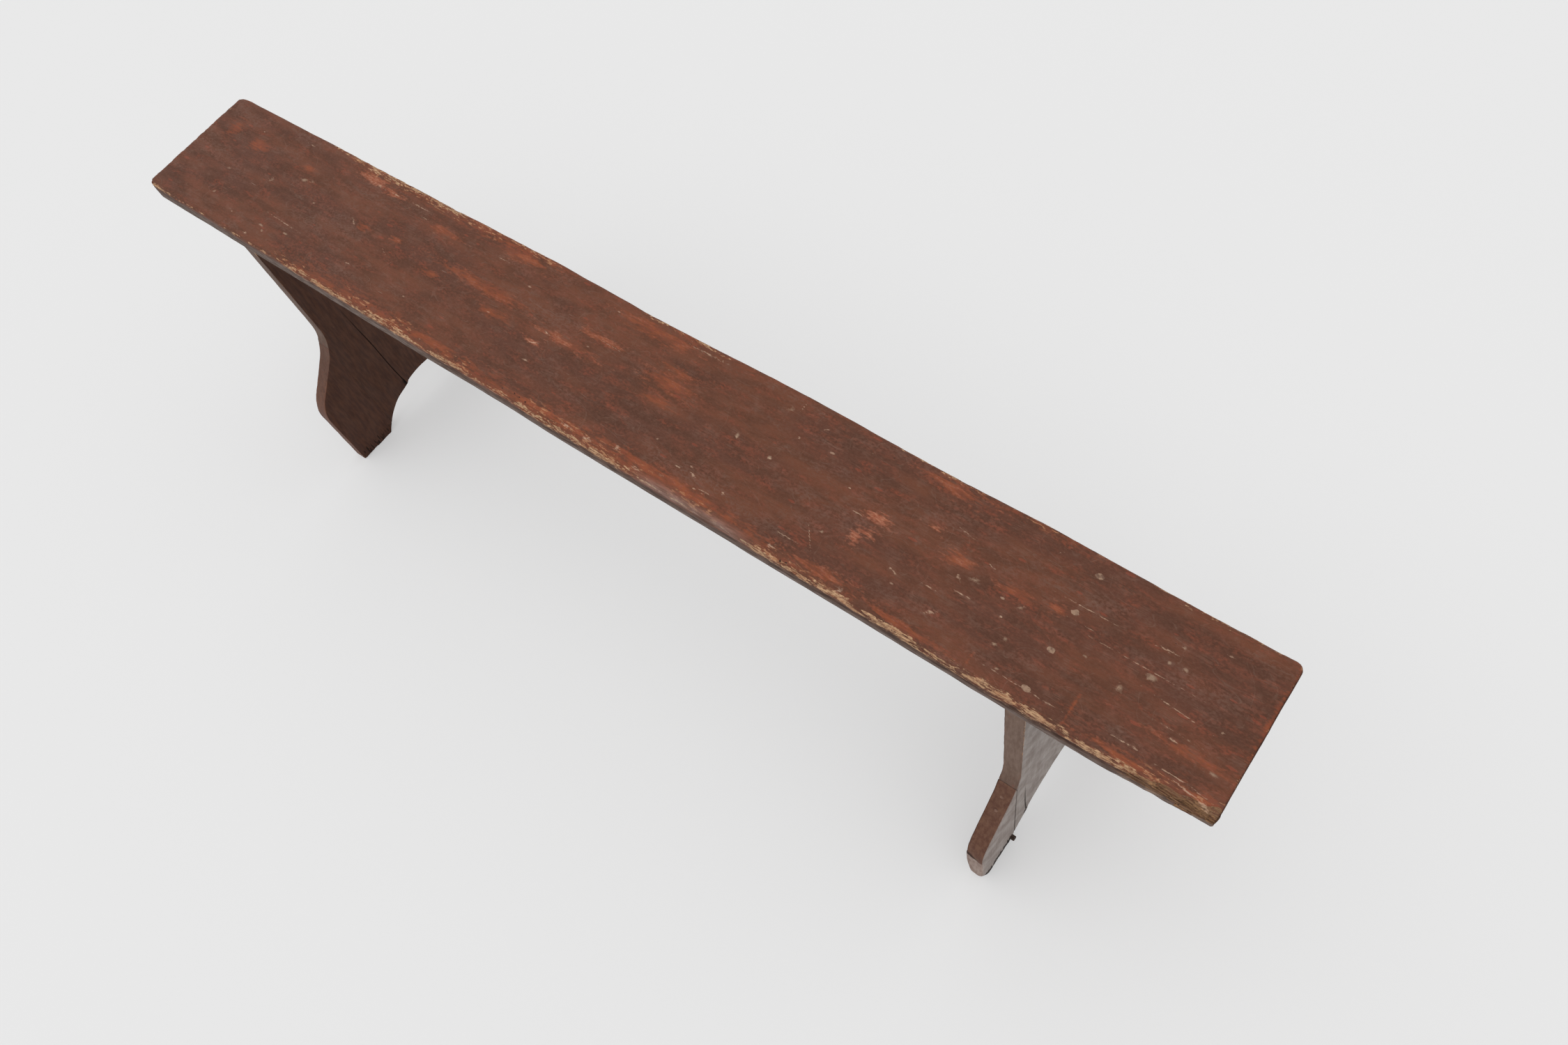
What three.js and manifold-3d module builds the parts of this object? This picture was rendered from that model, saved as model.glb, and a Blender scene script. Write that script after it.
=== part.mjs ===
// Painted wood bench: a long plank nailed down on two board legs that sweep out to feet.
// Millimetres. X runs along the bench, the front faces -Y, and the floor is at Z = 0.
import * as THREE from 'three';
import { mergeVertices } from 'three/addons/utils/BufferGeometryUtils.js';
import Module from 'manifold-3d';

// Whole bench
const seatHeight = 450;
const clearance = 0.3; // gap that is left between two pieces that touch
const overrun = 5; // how far a cut runs on past the wood that it opens

// Seat plank, a little wider at its left end than at its right
const seatLength = 1440;
const seatThick = 26;
const seatFrontLeft = 85.5; // reach from the middle line to the front edge, at the left end
const seatFrontMiddle = 83.7;
const seatFrontRight = 77.8;
const seatBackLeft = 81;
const seatBackMiddle = 83;
const seatBackRight = 80.5;
const leftEndSkew = 2.2; // how far the back corner stands out past the front one
const rightEndSkew = -1.5;
const seatArris = 1.5; // wear on the long edges
const cornerFrontLeft = 12; // wood worn off each corner, seen from above
const cornerBackLeft = 9;
const cornerBackLeftRun = 24; // the same corner, along the back edge
const cornerBackRight = 8;
const cornerFrontRight = 6;
const splitLength = 84; // splintered top arris at the front right corner
const splitWide = 9;
const splitDeep = 15;

// Legs
const leftOverhang = 158.6; // from the plank's end to the middle of the leg's thickness
const rightOverhang = 181.2;
const legThick = 22;
const legTopWidth = 157;
const footReach = 75; // how far each foot stands out past the upper board
const footSole = 57; // wood on the floor, from the toe to the arch
const shoulderHeight = 242; // where the hollow sweep meets the upright edge
const sweepLean = 43; // degrees between the sweep's straight slope and upright
const hollowRadius = 84;
const roundRadius = 60;
const archRise = 53.5;
const jointStep = 7.5; // the wings are jointed on this far outside the upper board's edge

// Cut nails, with a long flat head and a shank that tapers to its point
const nailHeadThick = 1.4;
const nailTipShare = 0.4;
const nailSink = 0.2; // how far a head lies below the wood around it
const seatNail = { length: 62, headLong: 8, headWide: 5, shank: 3.8 };
const wingNail = { length: 58, headLong: 6, headWide: 4, shank: 3.2 };
const seatNailShares = [-0.79, -0.26, 0.26, 0.79]; // of half the leg's top width
const wingNailFirst = -6; // along the slope, from the top of its straight stretch
const wingNailPitch = 18;

// Old peg in the right leg's front wing
const pegRadius = 3.6;
const pegStandOut = 6;
const pegFromJoint = 6.2;
const pegCover = 4.5; // wood between the peg and the arch

const paint = new THREE.MeshStandardMaterial({ color: 0x6b4535, roughness: 0.6, metalness: 0 });
const greyedPaint = new THREE.MeshStandardMaterial({ color: 0x7a6055, roughness: 0.75, metalness: 0 });
const redPaint = new THREE.MeshStandardMaterial({ color: 0x6a4032, roughness: 0.7, metalness: 0 });
const filler = new THREE.MeshStandardMaterial({ color: 0x94785f, roughness: 0.8, metalness: 0 });
const darkWood = new THREE.MeshStandardMaterial({ color: 0x3c2c24, roughness: 0.8, metalness: 0 });

const wasm = await Module();
wasm.setup();

// A closed three.js shape as a solid that can be cut
function solidOf(geometry) {
  const bare = geometry.clone();
  bare.deleteAttribute('normal');
  bare.deleteAttribute('uv');
  const merged = mergeVertices(bare);
  return new wasm.Manifold(
    new wasm.Mesh({
      numProp: 3,
      vertProperties: merged.attributes.position.array,
      triVerts: new Uint32Array(merged.index.array),
    }),
  );
}

function geometryOf(solid) {
  const mesh = solid.getMesh();
  const geometry = new THREE.BufferGeometry();
  geometry.setAttribute('position', new THREE.BufferAttribute(mesh.vertProperties, mesh.numProp));
  geometry.setIndex(new THREE.BufferAttribute(mesh.triVerts, 1));
  const flat = geometry.toNonIndexed();
  flat.computeVertexNormals();
  return flat;
}

function cutFrom(geometry, cutters) {
  const cut = cutters.reduce((solid, cutter) => solid.subtract(solidOf(cutter)), solidOf(geometry));
  return geometryOf(cut);
}

// A board outline drawn in (Y, Z), extruded along X through the leg's thickness
function boardGeometry(outline) {
  const geometry = new THREE.ExtrudeGeometry(outline, {
    depth: legThick,
    bevelEnabled: false,
    curveSegments: 16,
  });
  geometry.translate(0, 0, -legThick / 2);
  const yzx = new THREE.Matrix4().makeBasis(
    new THREE.Vector3(0, 1, 0),
    new THREE.Vector3(0, 0, 1),
    new THREE.Vector3(1, 0, 0),
  );
  return geometry.applyMatrix4(yzx);
}

// Leg outline, worked out once for the +Y side: an upright edge, a hollow arc, a straight slope
// and a round arc down to the upright toe. The two arcs together are never wider than the reach.
const legTop = seatHeight - seatThick - clearance;
const topHalf = legTopWidth / 2;
const footHalf = topHalf + footReach;
const lean = THREE.MathUtils.degToRad(sweepLean);
const arcShare = 1 - Math.cos(lean); // of a radius, how far its arc moves outwards
const radiusShare = Math.min(1, footReach / (arcShare * (hollowRadius + roundRadius)));
const hollow = hollowRadius * radiusShare;
const round = roundRadius * radiusShare;
const slopeTopY = topHalf + hollow * arcShare;
const slopeTopZ = shoulderHeight - hollow * Math.sin(lean);
const slopeLength = (footReach - (hollow + round) * arcShare) / Math.sin(lean);
const toeHeight = slopeTopZ - slopeLength * Math.cos(lean) - round * Math.sin(lean);
const leftLegX = leftOverhang - seatLength / 2;
const rightLegX = seatLength / 2 - rightOverhang;

// Arch between the feet, a circle's arc through both soles' inner corners
const archHalf = footHalf - footSole;
const archRadius = (archHalf ** 2 + archRise ** 2) / (2 * archRise);
const archCentreZ = archRise - archRadius;
const archZ = (y) => archCentreZ + Math.sqrt(archRadius ** 2 - y ** 2);
const archAngle = (y) => Math.acos(y / archRadius);

// The joint between board and wing leaves the front edge part way down the hollow arc
const jointY = topHalf + jointStep;
const jointAngle = Math.acos(1 - jointStep / hollow);
const jointZ = shoulderHeight - hollow * Math.sin(jointAngle);

function legBoardOutline() {
  const outline = new THREE.Shape();
  outline.moveTo(topHalf, legTop);
  outline.lineTo(-topHalf, legTop);
  outline.lineTo(-topHalf, shoulderHeight);
  outline.absarc(-topHalf - hollow, shoulderHeight, hollow, 0, -jointAngle, true);
  outline.lineTo(-jointY, archZ(jointY));
  outline.absarc(0, archCentreZ, archRadius, archAngle(-jointY), archAngle(jointY), true);
  outline.lineTo(jointY, jointZ);
  outline.absarc(topHalf + hollow, shoulderHeight, hollow, Math.PI + jointAngle, Math.PI, true);
  return outline;
}

function wingOutline() {
  const innerY = jointY + clearance;
  const innerAngle = Math.acos(1 - (innerY - topHalf) / hollow);
  const outline = new THREE.Shape();
  outline.moveTo(innerY, archZ(innerY));
  outline.absarc(0, archCentreZ, archRadius, archAngle(innerY), archAngle(archHalf), true);
  outline.lineTo(footHalf, 0);
  outline.lineTo(footHalf, toeHeight);
  outline.absarc(footHalf - round, toeHeight, round, 0, lean, false);
  outline.absarc(
    topHalf + hollow, shoulderHeight, hollow, Math.PI + lean, Math.PI + innerAngle, true,
  );
  return outline;
}

// A nail stands on the wood's face at Z = 0 and runs down; grow widens it into its own hole
function nailGeometry(nail, grow = 0, above = 0) {
  const root2 = Math.sqrt(2);
  const headHeight = nailHeadThick + grow + above;
  const head = new THREE.BoxGeometry(nail.headLong + 2 * grow, nail.headWide + 2 * grow, headHeight);
  head.translate(0, 0, above - headHeight / 2);
  const shankLength = nail.length - nailHeadThick / 2;
  const topRadius = (nail.shank / 2 + grow) * root2;
  const tipRadius = (nailTipShare * nail.shank / 2 + grow) * root2;
  const shank = new THREE.CylinderGeometry(topRadius, tipRadius, shankLength + grow, 4);
  shank.rotateY(Math.PI / 4);
  shank.rotateX(Math.PI / 2);
  shank.translate(0, 0, -(nailHeadThick + shankLength + grow) / 2);
  return geometryOf(solidOf(head).add(solidOf(shank)));
}

// Places of the nails: side is -1 at the front and 1 at the back
function seatNailPlace(share) {
  return new THREE.Matrix4().makeTranslation(0, share * topHalf, seatHeight - nailSink);
}

function wingNailPlace(side, index) {
  const down = wingNailFirst + index * wingNailPitch;
  const y = slopeTopY + down * Math.sin(lean) - nailSink * Math.cos(lean);
  const z = slopeTopZ - down * Math.cos(lean) - nailSink * Math.sin(lean);
  const turn = new THREE.Matrix4().makeRotationX(-side * (Math.PI / 2 - lean));
  return new THREE.Matrix4().makeTranslation(0, side * y, z).multiply(turn);
}

function nailHoles(nail, places) {
  return places.map((place) => nailGeometry(nail, clearance, overrun).applyMatrix4(place));
}

function named(name, geometry, material) {
  const mesh = new THREE.Mesh(geometry, material);
  mesh.name = name;
  return mesh;
}

function placed(mesh, matrix) {
  matrix.decompose(mesh.position, mesh.quaternion, mesh.scale);
  return mesh;
}

// Plank seen from above, with slightly bowed long edges and worn corners
function seatOutline() {
  const half = seatLength / 2;
  const frontLeft = new THREE.Vector2(-half + leftEndSkew, -seatFrontLeft);
  const frontRight = new THREE.Vector2(half, -seatFrontRight);
  const backRight = new THREE.Vector2(half + rightEndSkew, seatBackRight);
  const backLeft = new THREE.Vector2(-half, seatBackLeft);
  const outline = new THREE.Shape();
  outline.moveTo(frontLeft.x + cornerFrontLeft, frontLeft.y);
  outline.splineThru([
    new THREE.Vector2(0, -seatFrontMiddle),
    new THREE.Vector2(frontRight.x - cornerFrontRight, frontRight.y),
  ]);
  outline.quadraticCurveTo(frontRight.x, frontRight.y, frontRight.x, frontRight.y + cornerFrontRight);
  outline.lineTo(backRight.x, backRight.y - cornerBackRight);
  outline.quadraticCurveTo(backRight.x, backRight.y, backRight.x - cornerBackRight, backRight.y);
  outline.splineThru([
    new THREE.Vector2(0, seatBackMiddle),
    new THREE.Vector2(backLeft.x + cornerBackLeftRun, backLeft.y),
  ]);
  outline.quadraticCurveTo(backLeft.x, backLeft.y, backLeft.x, backLeft.y - cornerBackLeft);
  outline.lineTo(frontLeft.x, frontLeft.y + cornerFrontLeft);
  outline.quadraticCurveTo(frontLeft.x, frontLeft.y, frontLeft.x + cornerFrontLeft, frontLeft.y);
  return outline;
}

// Wedge that takes the splintered wood off the top arris, growing towards the right end
function splitCutter() {
  const half = seatLength / 2;
  const start = [half - splitLength, -seatFrontRight - overrun, seatHeight + overrun];
  const endX = half + overrun;
  const outerY = -seatFrontRight - overrun;
  const low = [endX, outerY, seatHeight - splitDeep];
  const high = [endX, outerY, seatHeight + overrun];
  const inner = [endX, -seatFrontRight + splitWide, seatHeight + overrun];
  const geometry = new THREE.BufferGeometry();
  geometry.setAttribute(
    'position',
    new THREE.Float32BufferAttribute([...start, ...low, ...high, ...inner], 3),
  );
  geometry.setIndex([0, 1, 2, 0, 2, 3, 0, 3, 1, 1, 3, 2]);
  return geometry;
}

function seatGeometry() {
  const plank = new THREE.ExtrudeGeometry(seatOutline(), {
    depth: seatThick - 2 * seatArris,
    bevelEnabled: true,
    bevelThickness: seatArris,
    bevelSize: seatArris,
    bevelOffset: -seatArris,
    bevelSegments: 2,
    curveSegments: 8,
  });
  plank.translate(0, 0, seatHeight - seatThick + seatArris);
  const holes = [leftLegX, rightLegX].flatMap((legX) =>
    nailHoles(seatNail, seatNailShares.map(seatNailPlace)).map((hole) => hole.translate(legX, 0, 0)),
  );
  return cutFrom(plank, [splitCutter(), ...holes]);
}

function pegPlace() {
  const y = jointY + clearance + pegFromJoint;
  return { y: -y, z: archZ(y) + pegCover + pegRadius };
}

// Cylinder along X through the leg board's thickness, standing out of its outer face
function pegGeometry(radius, before, after) {
  const length = legThick + before + after;
  const peg = new THREE.CylinderGeometry(radius, radius, length, 14);
  peg.rotateZ(Math.PI / 2);
  peg.translate((after - before) / 2, 0, 0);
  return peg;
}

function legBoard(prefix) {
  const seatHoles = nailHoles(seatNail, seatNailShares.map(seatNailPlace));
  const wingHoles = [-1, 1].flatMap((side) =>
    nailHoles(wingNail, [0, 1].map((index) => wingNailPlace(side, index))),
  );
  const board = cutFrom(boardGeometry(legBoardOutline()), [...seatHoles, ...wingHoles]);
  return named(`${prefix}_leg_board`, board, greyedPaint);
}

function footWing(name, side, extraCutters) {
  const outline = boardGeometry(wingOutline());
  if (side < 0) {
    outline.rotateZ(Math.PI);
  }
  const holes = nailHoles(wingNail, [0, 1].map((index) => wingNailPlace(side, index)));
  return named(name, cutFrom(outline, [...holes, ...extraCutters]), redPaint);
}

function leg(prefix, x, hasPeg) {
  const group = new THREE.Group();
  group.position.x = x;
  group.add(legBoard(prefix));
  const { y, z } = pegPlace();
  const pegHole = pegGeometry(pegRadius + clearance, overrun, overrun).translate(0, y, z);
  const sides = { front: -1, back: 1 };
  for (const [sideName, side] of Object.entries(sides)) {
    const cutters = hasPeg && side < 0 ? [pegHole] : [];
    group.add(footWing(`${prefix}_${sideName}_foot_wing`, side, cutters));
    for (const index of [0, 1]) {
      const nail = named(`${prefix}_${sideName}_wing_nail_${index + 1}`, nailGeometry(wingNail), filler);
      group.add(placed(nail, wingNailPlace(side, index)));
    }
  }
  seatNailShares.forEach((share, index) => {
    const nail = named(`${prefix}_seat_nail_${index + 1}`, nailGeometry(seatNail), filler);
    group.add(placed(nail, seatNailPlace(share)));
  });
  if (hasPeg) {
    const peg = named(`${prefix}_front_peg`, pegGeometry(pegRadius, 0, pegStandOut), darkWood);
    peg.position.set(0, y, z);
    group.add(peg);
  }
  return group;
}

const bench = new THREE.Group();
bench.add(named('seat_plank', seatGeometry(), paint));
bench.add(leg('left', leftLegX, false));
bench.add(leg('right', rightLegX, true));

// The bench stands with the middle of its outer box over the origin
const middle = new THREE.Box3().setFromObject(bench).getCenter(new THREE.Vector3());
bench.position.set(-middle.x, -middle.y, 0);

export default bench;
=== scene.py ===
import math

import bpy
import numpy as np
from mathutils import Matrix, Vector


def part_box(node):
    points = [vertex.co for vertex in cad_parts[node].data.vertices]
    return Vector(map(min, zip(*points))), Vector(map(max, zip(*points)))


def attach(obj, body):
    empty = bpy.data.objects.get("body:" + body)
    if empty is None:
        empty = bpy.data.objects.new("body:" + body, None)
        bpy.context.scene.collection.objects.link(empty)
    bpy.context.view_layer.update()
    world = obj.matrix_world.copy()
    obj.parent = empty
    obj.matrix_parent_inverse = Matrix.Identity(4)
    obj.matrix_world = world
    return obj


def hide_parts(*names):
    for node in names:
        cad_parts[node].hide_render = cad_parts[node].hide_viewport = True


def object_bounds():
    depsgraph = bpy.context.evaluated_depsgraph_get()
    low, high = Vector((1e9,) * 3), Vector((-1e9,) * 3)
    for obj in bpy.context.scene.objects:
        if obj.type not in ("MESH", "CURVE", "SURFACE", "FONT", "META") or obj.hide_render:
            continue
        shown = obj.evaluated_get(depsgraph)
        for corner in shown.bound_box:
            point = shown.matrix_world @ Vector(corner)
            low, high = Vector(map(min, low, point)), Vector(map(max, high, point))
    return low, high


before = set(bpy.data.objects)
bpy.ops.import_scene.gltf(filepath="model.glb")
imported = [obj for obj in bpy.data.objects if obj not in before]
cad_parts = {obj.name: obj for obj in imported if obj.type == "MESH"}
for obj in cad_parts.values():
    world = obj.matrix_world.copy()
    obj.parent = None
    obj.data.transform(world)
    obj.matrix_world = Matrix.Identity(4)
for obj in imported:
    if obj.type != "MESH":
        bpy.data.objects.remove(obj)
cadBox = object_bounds()
mm = 0.001
print("frame:", len(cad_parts), "pieces")


def colour(hexText):
    parts = [int(hexText[i:i + 2], 16) / 255 for i in (1, 3, 5)]
    return [c / 12.92 if c <= 0.04045 else ((c + 0.055) / 1.055) ** 2.4 for c in parts] + [1.0]


# Adds one node. A value is a number, a socket, or a node whose first output is used.
def addNode(tree, kind, values=None, **settings):
    node = tree.nodes.new(kind)
    for name, setting in settings.items():
        setattr(node, name, setting)
    for key, value in (values or {}).items():
        if isinstance(value, bpy.types.Node):
            value = value.outputs[0]
        if isinstance(value, bpy.types.NodeSocket):
            tree.links.new(value, node.inputs[key])
        else:
            node.inputs[key].default_value = value
    return node


# A new material with its tree and its shader
def startMaterial(name, roughness, gloss):
    material = bpy.data.materials.new(name)
    material.use_nodes = True
    shader = material.node_tree.nodes["Principled BSDF"]
    shader.inputs["Roughness"].default_value = roughness
    shader.inputs["Specular IOR Level"].default_value = gloss
    return material, material.node_tree, shader


# Camera, floor and light

camera = {
    "place": (0.6911, -0.3577, 1.4107),
    "turn": (27.39, 9.149, 36.519),  # degrees about X, Y and Z
    "focalPixels": 1662.1,
    "imageWide": 2250,
    "sensorWide": 36,
}

studio = {
    "floorSize": 16,
    "floorColour": "#e9e9e9",
    "floorRoughness": 0.9,
    "floorGloss": 0.2,
    "floorGlow": 0.4,  # how far the floor shows its own colour, which keeps its shadows light
    "worldColour": "#f4f4f4",
    "worldStrength": 0.9,
    "sunFrom": (-0.24, -0.3, 1.0),
    "sunSpread": 70,  # degrees across, so shadows fade like those of a large softbox
    "sunStrength": 0.62,
}


def makeCamera():
    lens = bpy.data.cameras.new("camera")
    lens.sensor_width = camera["sensorWide"]
    lens.lens = camera["focalPixels"] / camera["imageWide"] * camera["sensorWide"]
    holder = bpy.data.objects.new("camera", lens)
    holder.location = camera["place"]
    holder.rotation_euler = [math.radians(turn) for turn in camera["turn"]]
    bpy.context.scene.collection.objects.link(holder)
    bpy.context.scene.camera = holder
    print("camera: solved from the plank's edges")


# 1 for the rays that see a background: those of the camera, of gloss and of glass
def seenDirectly(tree):
    rays = addNode(tree, "ShaderNodeLightPath").outputs
    direct = addNode(tree, "ShaderNodeMath", {0: rays["Is Camera Ray"], 1: rays["Is Glossy Ray"]},
                     operation="MAXIMUM")
    return addNode(tree, "ShaderNodeMath", {0: direct, 1: rays["Is Transmission Ray"]}, operation="MAXIMUM")


# Pale painted studio floor: matt, so the bench's soft shadows show and nothing glints
def floorPaint():
    material, tree, shader = startMaterial("mattFloorPaint", studio["floorRoughness"], studio["floorGloss"])
    shader.inputs["Base Color"].default_value = colour(studio["floorColour"])
    glow = addNode(tree, "ShaderNodeEmission", {"Color": colour(studio["floorColour"]), "Strength": 1.0})
    share = addNode(tree, "ShaderNodeMath", {0: seenDirectly(tree), 1: studio["floorGlow"]},
                    operation="MULTIPLY")
    both = addNode(tree, "ShaderNodeMixShader", {0: share, 1: shader, 2: glow})
    tree.links.new(both.outputs[0], tree.nodes["Material Output"].inputs["Surface"])
    return material


def makeStudio():
    half = studio["floorSize"] / 2
    corners = [(-half, -half, 0), (half, -half, 0), (half, half, 0), (-half, half, 0)]
    mesh = bpy.data.meshes.new("floor")
    mesh.from_pydata(corners, [], [(0, 1, 2, 3)])
    mesh.materials.append(floorPaint())
    floor = bpy.data.objects.new("floor", mesh)
    bpy.context.scene.collection.objects.link(floor)

    world = bpy.data.worlds.new("paleStudio")
    world.use_nodes = True
    tree = world.node_tree
    light = tree.nodes["Background"]
    light.inputs["Color"].default_value = colour(studio["worldColour"])
    light.inputs["Strength"].default_value = studio["worldStrength"]
    seen = addNode(tree, "ShaderNodeBackground", {"Color": colour(studio["floorColour"]), "Strength": 1.0})
    both = addNode(tree, "ShaderNodeMixShader", {0: seenDirectly(tree), 1: light, 2: seen})
    tree.links.new(both.outputs[0], tree.nodes["World Output"].inputs["Surface"])
    bpy.context.scene.world = world

    lamp = bpy.data.lights.new("softLight", "SUN")
    lamp.angle = math.radians(studio["sunSpread"])
    lamp.energy = studio["sunStrength"]
    holder = bpy.data.objects.new(lamp.name, lamp)
    holder.location = Vector(studio["sunFrom"]) * 2
    holder.rotation_euler = (-holder.location).to_track_quat("-Z", "Y").to_euler()
    bpy.context.scene.collection.objects.link(holder)
    bpy.context.scene.view_settings.view_transform = "Standard"
    print("studio: floor, world and one soft light")


# Shared mesh code. Forms are worked out in millimetres.

onFace = 0.01  # a point this near a face lies on it


# 0 up to start, 1 from end on, and even in between. The end may lie below the start.
def ramp(value, start, end):
    return np.clip((value - start) / (end - start), 0, 1)


# Grid lines from low to high. A grid is the step between them, a rim at each end and the step in the rims.
def gridLines(low, high, grid, extra=()):
    step, lowRim, highRim, rimStep = grid
    span = high - low - lowRim - highRim
    inner = np.linspace(low + lowRim, high - highRim, round(span / step) + 1)
    start = low + np.linspace(0, lowRim, round(lowRim / rimStep) + 1)[:-1]
    end = high - np.linspace(0, highRim, round(highRim / rimStep) + 1)[:-1][::-1]
    return np.unique(np.concatenate([start, inner, end, np.array(extra, float)]))


# Points and outward quads of a box's surface on those grid lines
def blockShell(xs, ys, zs):
    shell = np.zeros((len(xs), len(ys), len(zs)), bool)
    shell[[0, -1]] = shell[:, [0, -1]] = shell[:, :, [0, -1]] = True
    ids = np.full(shell.shape, -1)
    ids[shell] = np.arange(shell.sum())
    points = np.stack(np.meshgrid(xs, ys, zs, indexing="ij"), -1)[shell]
    sides = [
        (ids[:, :, -1], False), (ids[:, :, 0], True),
        (ids[:, 0, :], False), (ids[:, -1, :], True),
        (ids[-1], False), (ids[0], True),
    ]
    quads = []
    for side, flip in sides:
        corners = [side[:-1, :-1], side[1:, :-1], side[1:, 1:], side[:-1, 1:]]
        quad = np.stack(corners, -1).reshape(-1, 4)
        quads.append(quad[:, ::-1] if flip else quad)
    return points, np.concatenate(quads)


# Rounds a box's arrises; radii may differ from point to point
def roundOff(points, low, high, radii):
    low, high = np.array(low, float), np.array(high, float)
    inner = np.clip(points, low + radii, high - radii)
    out = (points - inner) / radii
    length = np.maximum(np.linalg.norm(out, axis=1, keepdims=True), 1e-9)
    return inner + out / length * radii


# Moves places in a square, from -1 to 1, onto the round one inside it
def squareToRound(u, v):
    return u * np.sqrt(1 - v ** 2 / 2), v * np.sqrt(1 - u ** 2 / 2)


# A value that follows a few given places along the wood, smoothed over a stretch
def alongWood(places, x, smooth=20):
    at, value = np.array(places, float).T
    shifts = np.linspace(-smooth, smooth, 9)
    return np.mean([np.interp(x + shift, at, value) for shift in shifts], axis=0)


# A mesh object from points in millimetres, with its fields kept as attributes
def meshPiece(name, points, quads, fields, turned=False):
    mesh = bpy.data.meshes.new(name)
    if turned:
        points = points * (-1, -1, 1)
    mesh.vertices.add(len(points))
    mesh.vertices.foreach_set("co", (points * mm).ravel())
    mesh.loops.add(quads.size)
    mesh.loops.foreach_set("vertex_index", quads.ravel())
    mesh.polygons.add(len(quads))
    mesh.polygons.foreach_set("loop_start", np.arange(0, quads.size, 4))
    mesh.update(calc_edges=True)
    mesh.validate()
    mesh.polygons.foreach_set("use_smooth", [True] * len(mesh.polygons))
    for field, values in fields.items():
        layer = mesh.attributes.new(field, "FLOAT", "POINT")
        layer.data.foreach_set("value", np.asarray(values, float))
    piece = bpy.data.objects.new(name, mesh)
    bpy.context.scene.collection.objects.link(piece)
    return piece


# Runs a geometry node group over a piece and keeps the result as a plain mesh
def runNodes(piece, group, values):
    modifier = piece.modifiers.new("nodes", "NODES")
    modifier.node_group = group
    for item in group.interface.items_tree:
        if item.in_out == "INPUT" and item.name in values:
            modifier[item.identifier] = values[item.name]
    graph = bpy.context.evaluated_depsgraph_get()
    made = bpy.data.meshes.new_from_object(
        piece.evaluated_get(graph), preserve_all_data_layers=True, depsgraph=graph
    )
    piece.modifiers.clear()
    made.name = piece.name
    piece.data = made


def nodeGroup(name, sockets):
    group = bpy.data.node_groups.new(name, "GeometryNodeTree")
    group.interface.new_socket("Geometry", in_out="OUTPUT", socket_type="NodeSocketGeometry")
    for label, kind in sockets.items():
        group.interface.new_socket(label, in_out="INPUT", socket_type=kind)
    return group


def settle(piece, slot, *nodes):
    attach(piece, "root")
    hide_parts(*nodes)
    print(piece.name, len(piece.data.polygons), "faces")


# Relief of worn wood. Each kind of cut has its noise's detail, where the noise starts to cut, and
# the attribute that limits it.
reliefCuts = {
    "Grain": (3, 0.25, None),
    "Dent": (2, 0.35, None),
    "Chip": (3, 0.45, "bare"),
    "Splinter": (4, 0.3, "broken"),
}
reliefFull = 0.75  # where the noise cuts to the full depth
reliefShift = 7.3  # how far one kind's noise is from the next


# It only cuts inwards, and not where the attribute "still" is 1, as along a flush joint
def reliefNodes():
    sockets = {"Geometry": "NodeSocketGeometry", "Seed": "NodeSocketFloat", "Finish": "NodeSocketMaterial"}
    for kind in reliefCuts:
        sockets[f"{kind} Size"] = "NodeSocketVector"
        sockets[f"{kind} Depth"] = "NodeSocketFloat"
    tree = nodeGroup("wornRelief", sockets)
    given = addNode(tree, "NodeGroupInput").outputs
    fields = {}
    for key in ("bare", "broken", "still"):
        field = addNode(tree, "GeometryNodeInputNamedAttribute", {"Name": key}, data_type="FLOAT")
        fields[key] = field.outputs["Attribute"]
    position = addNode(tree, "GeometryNodeInputPosition")
    place = addNode(tree, "ShaderNodeVectorMath", {0: position, 1: (1 / mm,) * 3}, operation="MULTIPLY")

    total = None
    for index, (kind, (detail, start, limit)) in enumerate(reliefCuts.items()):
        scaled = addNode(tree, "ShaderNodeVectorMath", {0: place, 1: given[f"{kind} Size"]},
                         operation="DIVIDE")
        shifted = addNode(tree, "ShaderNodeMath", {0: given["Seed"], 1: reliefShift * index}, operation="ADD")
        noise = addNode(tree, "ShaderNodeTexNoise", {
            "Vector": scaled, "W": shifted, "Scale": 1.0, "Detail": detail,
        }, noise_dimensions="4D")
        cut = addNode(tree, "ShaderNodeMapRange", {"Value": noise, "From Min": start, "From Max": reliefFull})
        deep = addNode(tree, "ShaderNodeMath", {0: cut, 1: given[f"{kind} Depth"]}, operation="MULTIPLY")
        if limit:
            deep = addNode(tree, "ShaderNodeMath", {0: deep, 1: fields[limit]}, operation="MULTIPLY")
        total = addNode(tree, "ShaderNodeMath", {0: deep, 1: total}, operation="ADD") if total else deep
    share = addNode(tree, "ShaderNodeMath", {0: fields["still"], 1: mm, 2: -mm}, operation="MULTIPLY_ADD")
    inward = addNode(tree, "ShaderNodeMath", {0: total, 1: share}, operation="MULTIPLY")
    normal = addNode(tree, "GeometryNodeInputNormal")
    offset = addNode(tree, "ShaderNodeVectorMath", {0: normal, "Scale": inward}, operation="SCALE")
    moved = addNode(tree, "GeometryNodeSetPosition", {"Geometry": given["Geometry"], "Offset": offset})
    real = addNode(tree, "GeometryNodeRealizeInstances", {"Geometry": moved})
    finished = addNode(tree, "GeometryNodeSetMaterial", {"Geometry": real, "Material": given["Finish"]})
    addNode(tree, "NodeGroupOutput", {"Geometry": finished})
    return tree


# A piece's cuts are named as above, each with its size along X, Y and Z and its depth in millimetres
def carveRelief(piece, group, cuts, seed, finish):
    values = {"Seed": seed, "Finish": finish}
    for kind, (size, depth) in cuts.items():
        values[f"{kind} Size"] = size
        values[f"{kind} Depth"] = depth
    runNodes(piece, group, values)


# Paint on old wood

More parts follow.
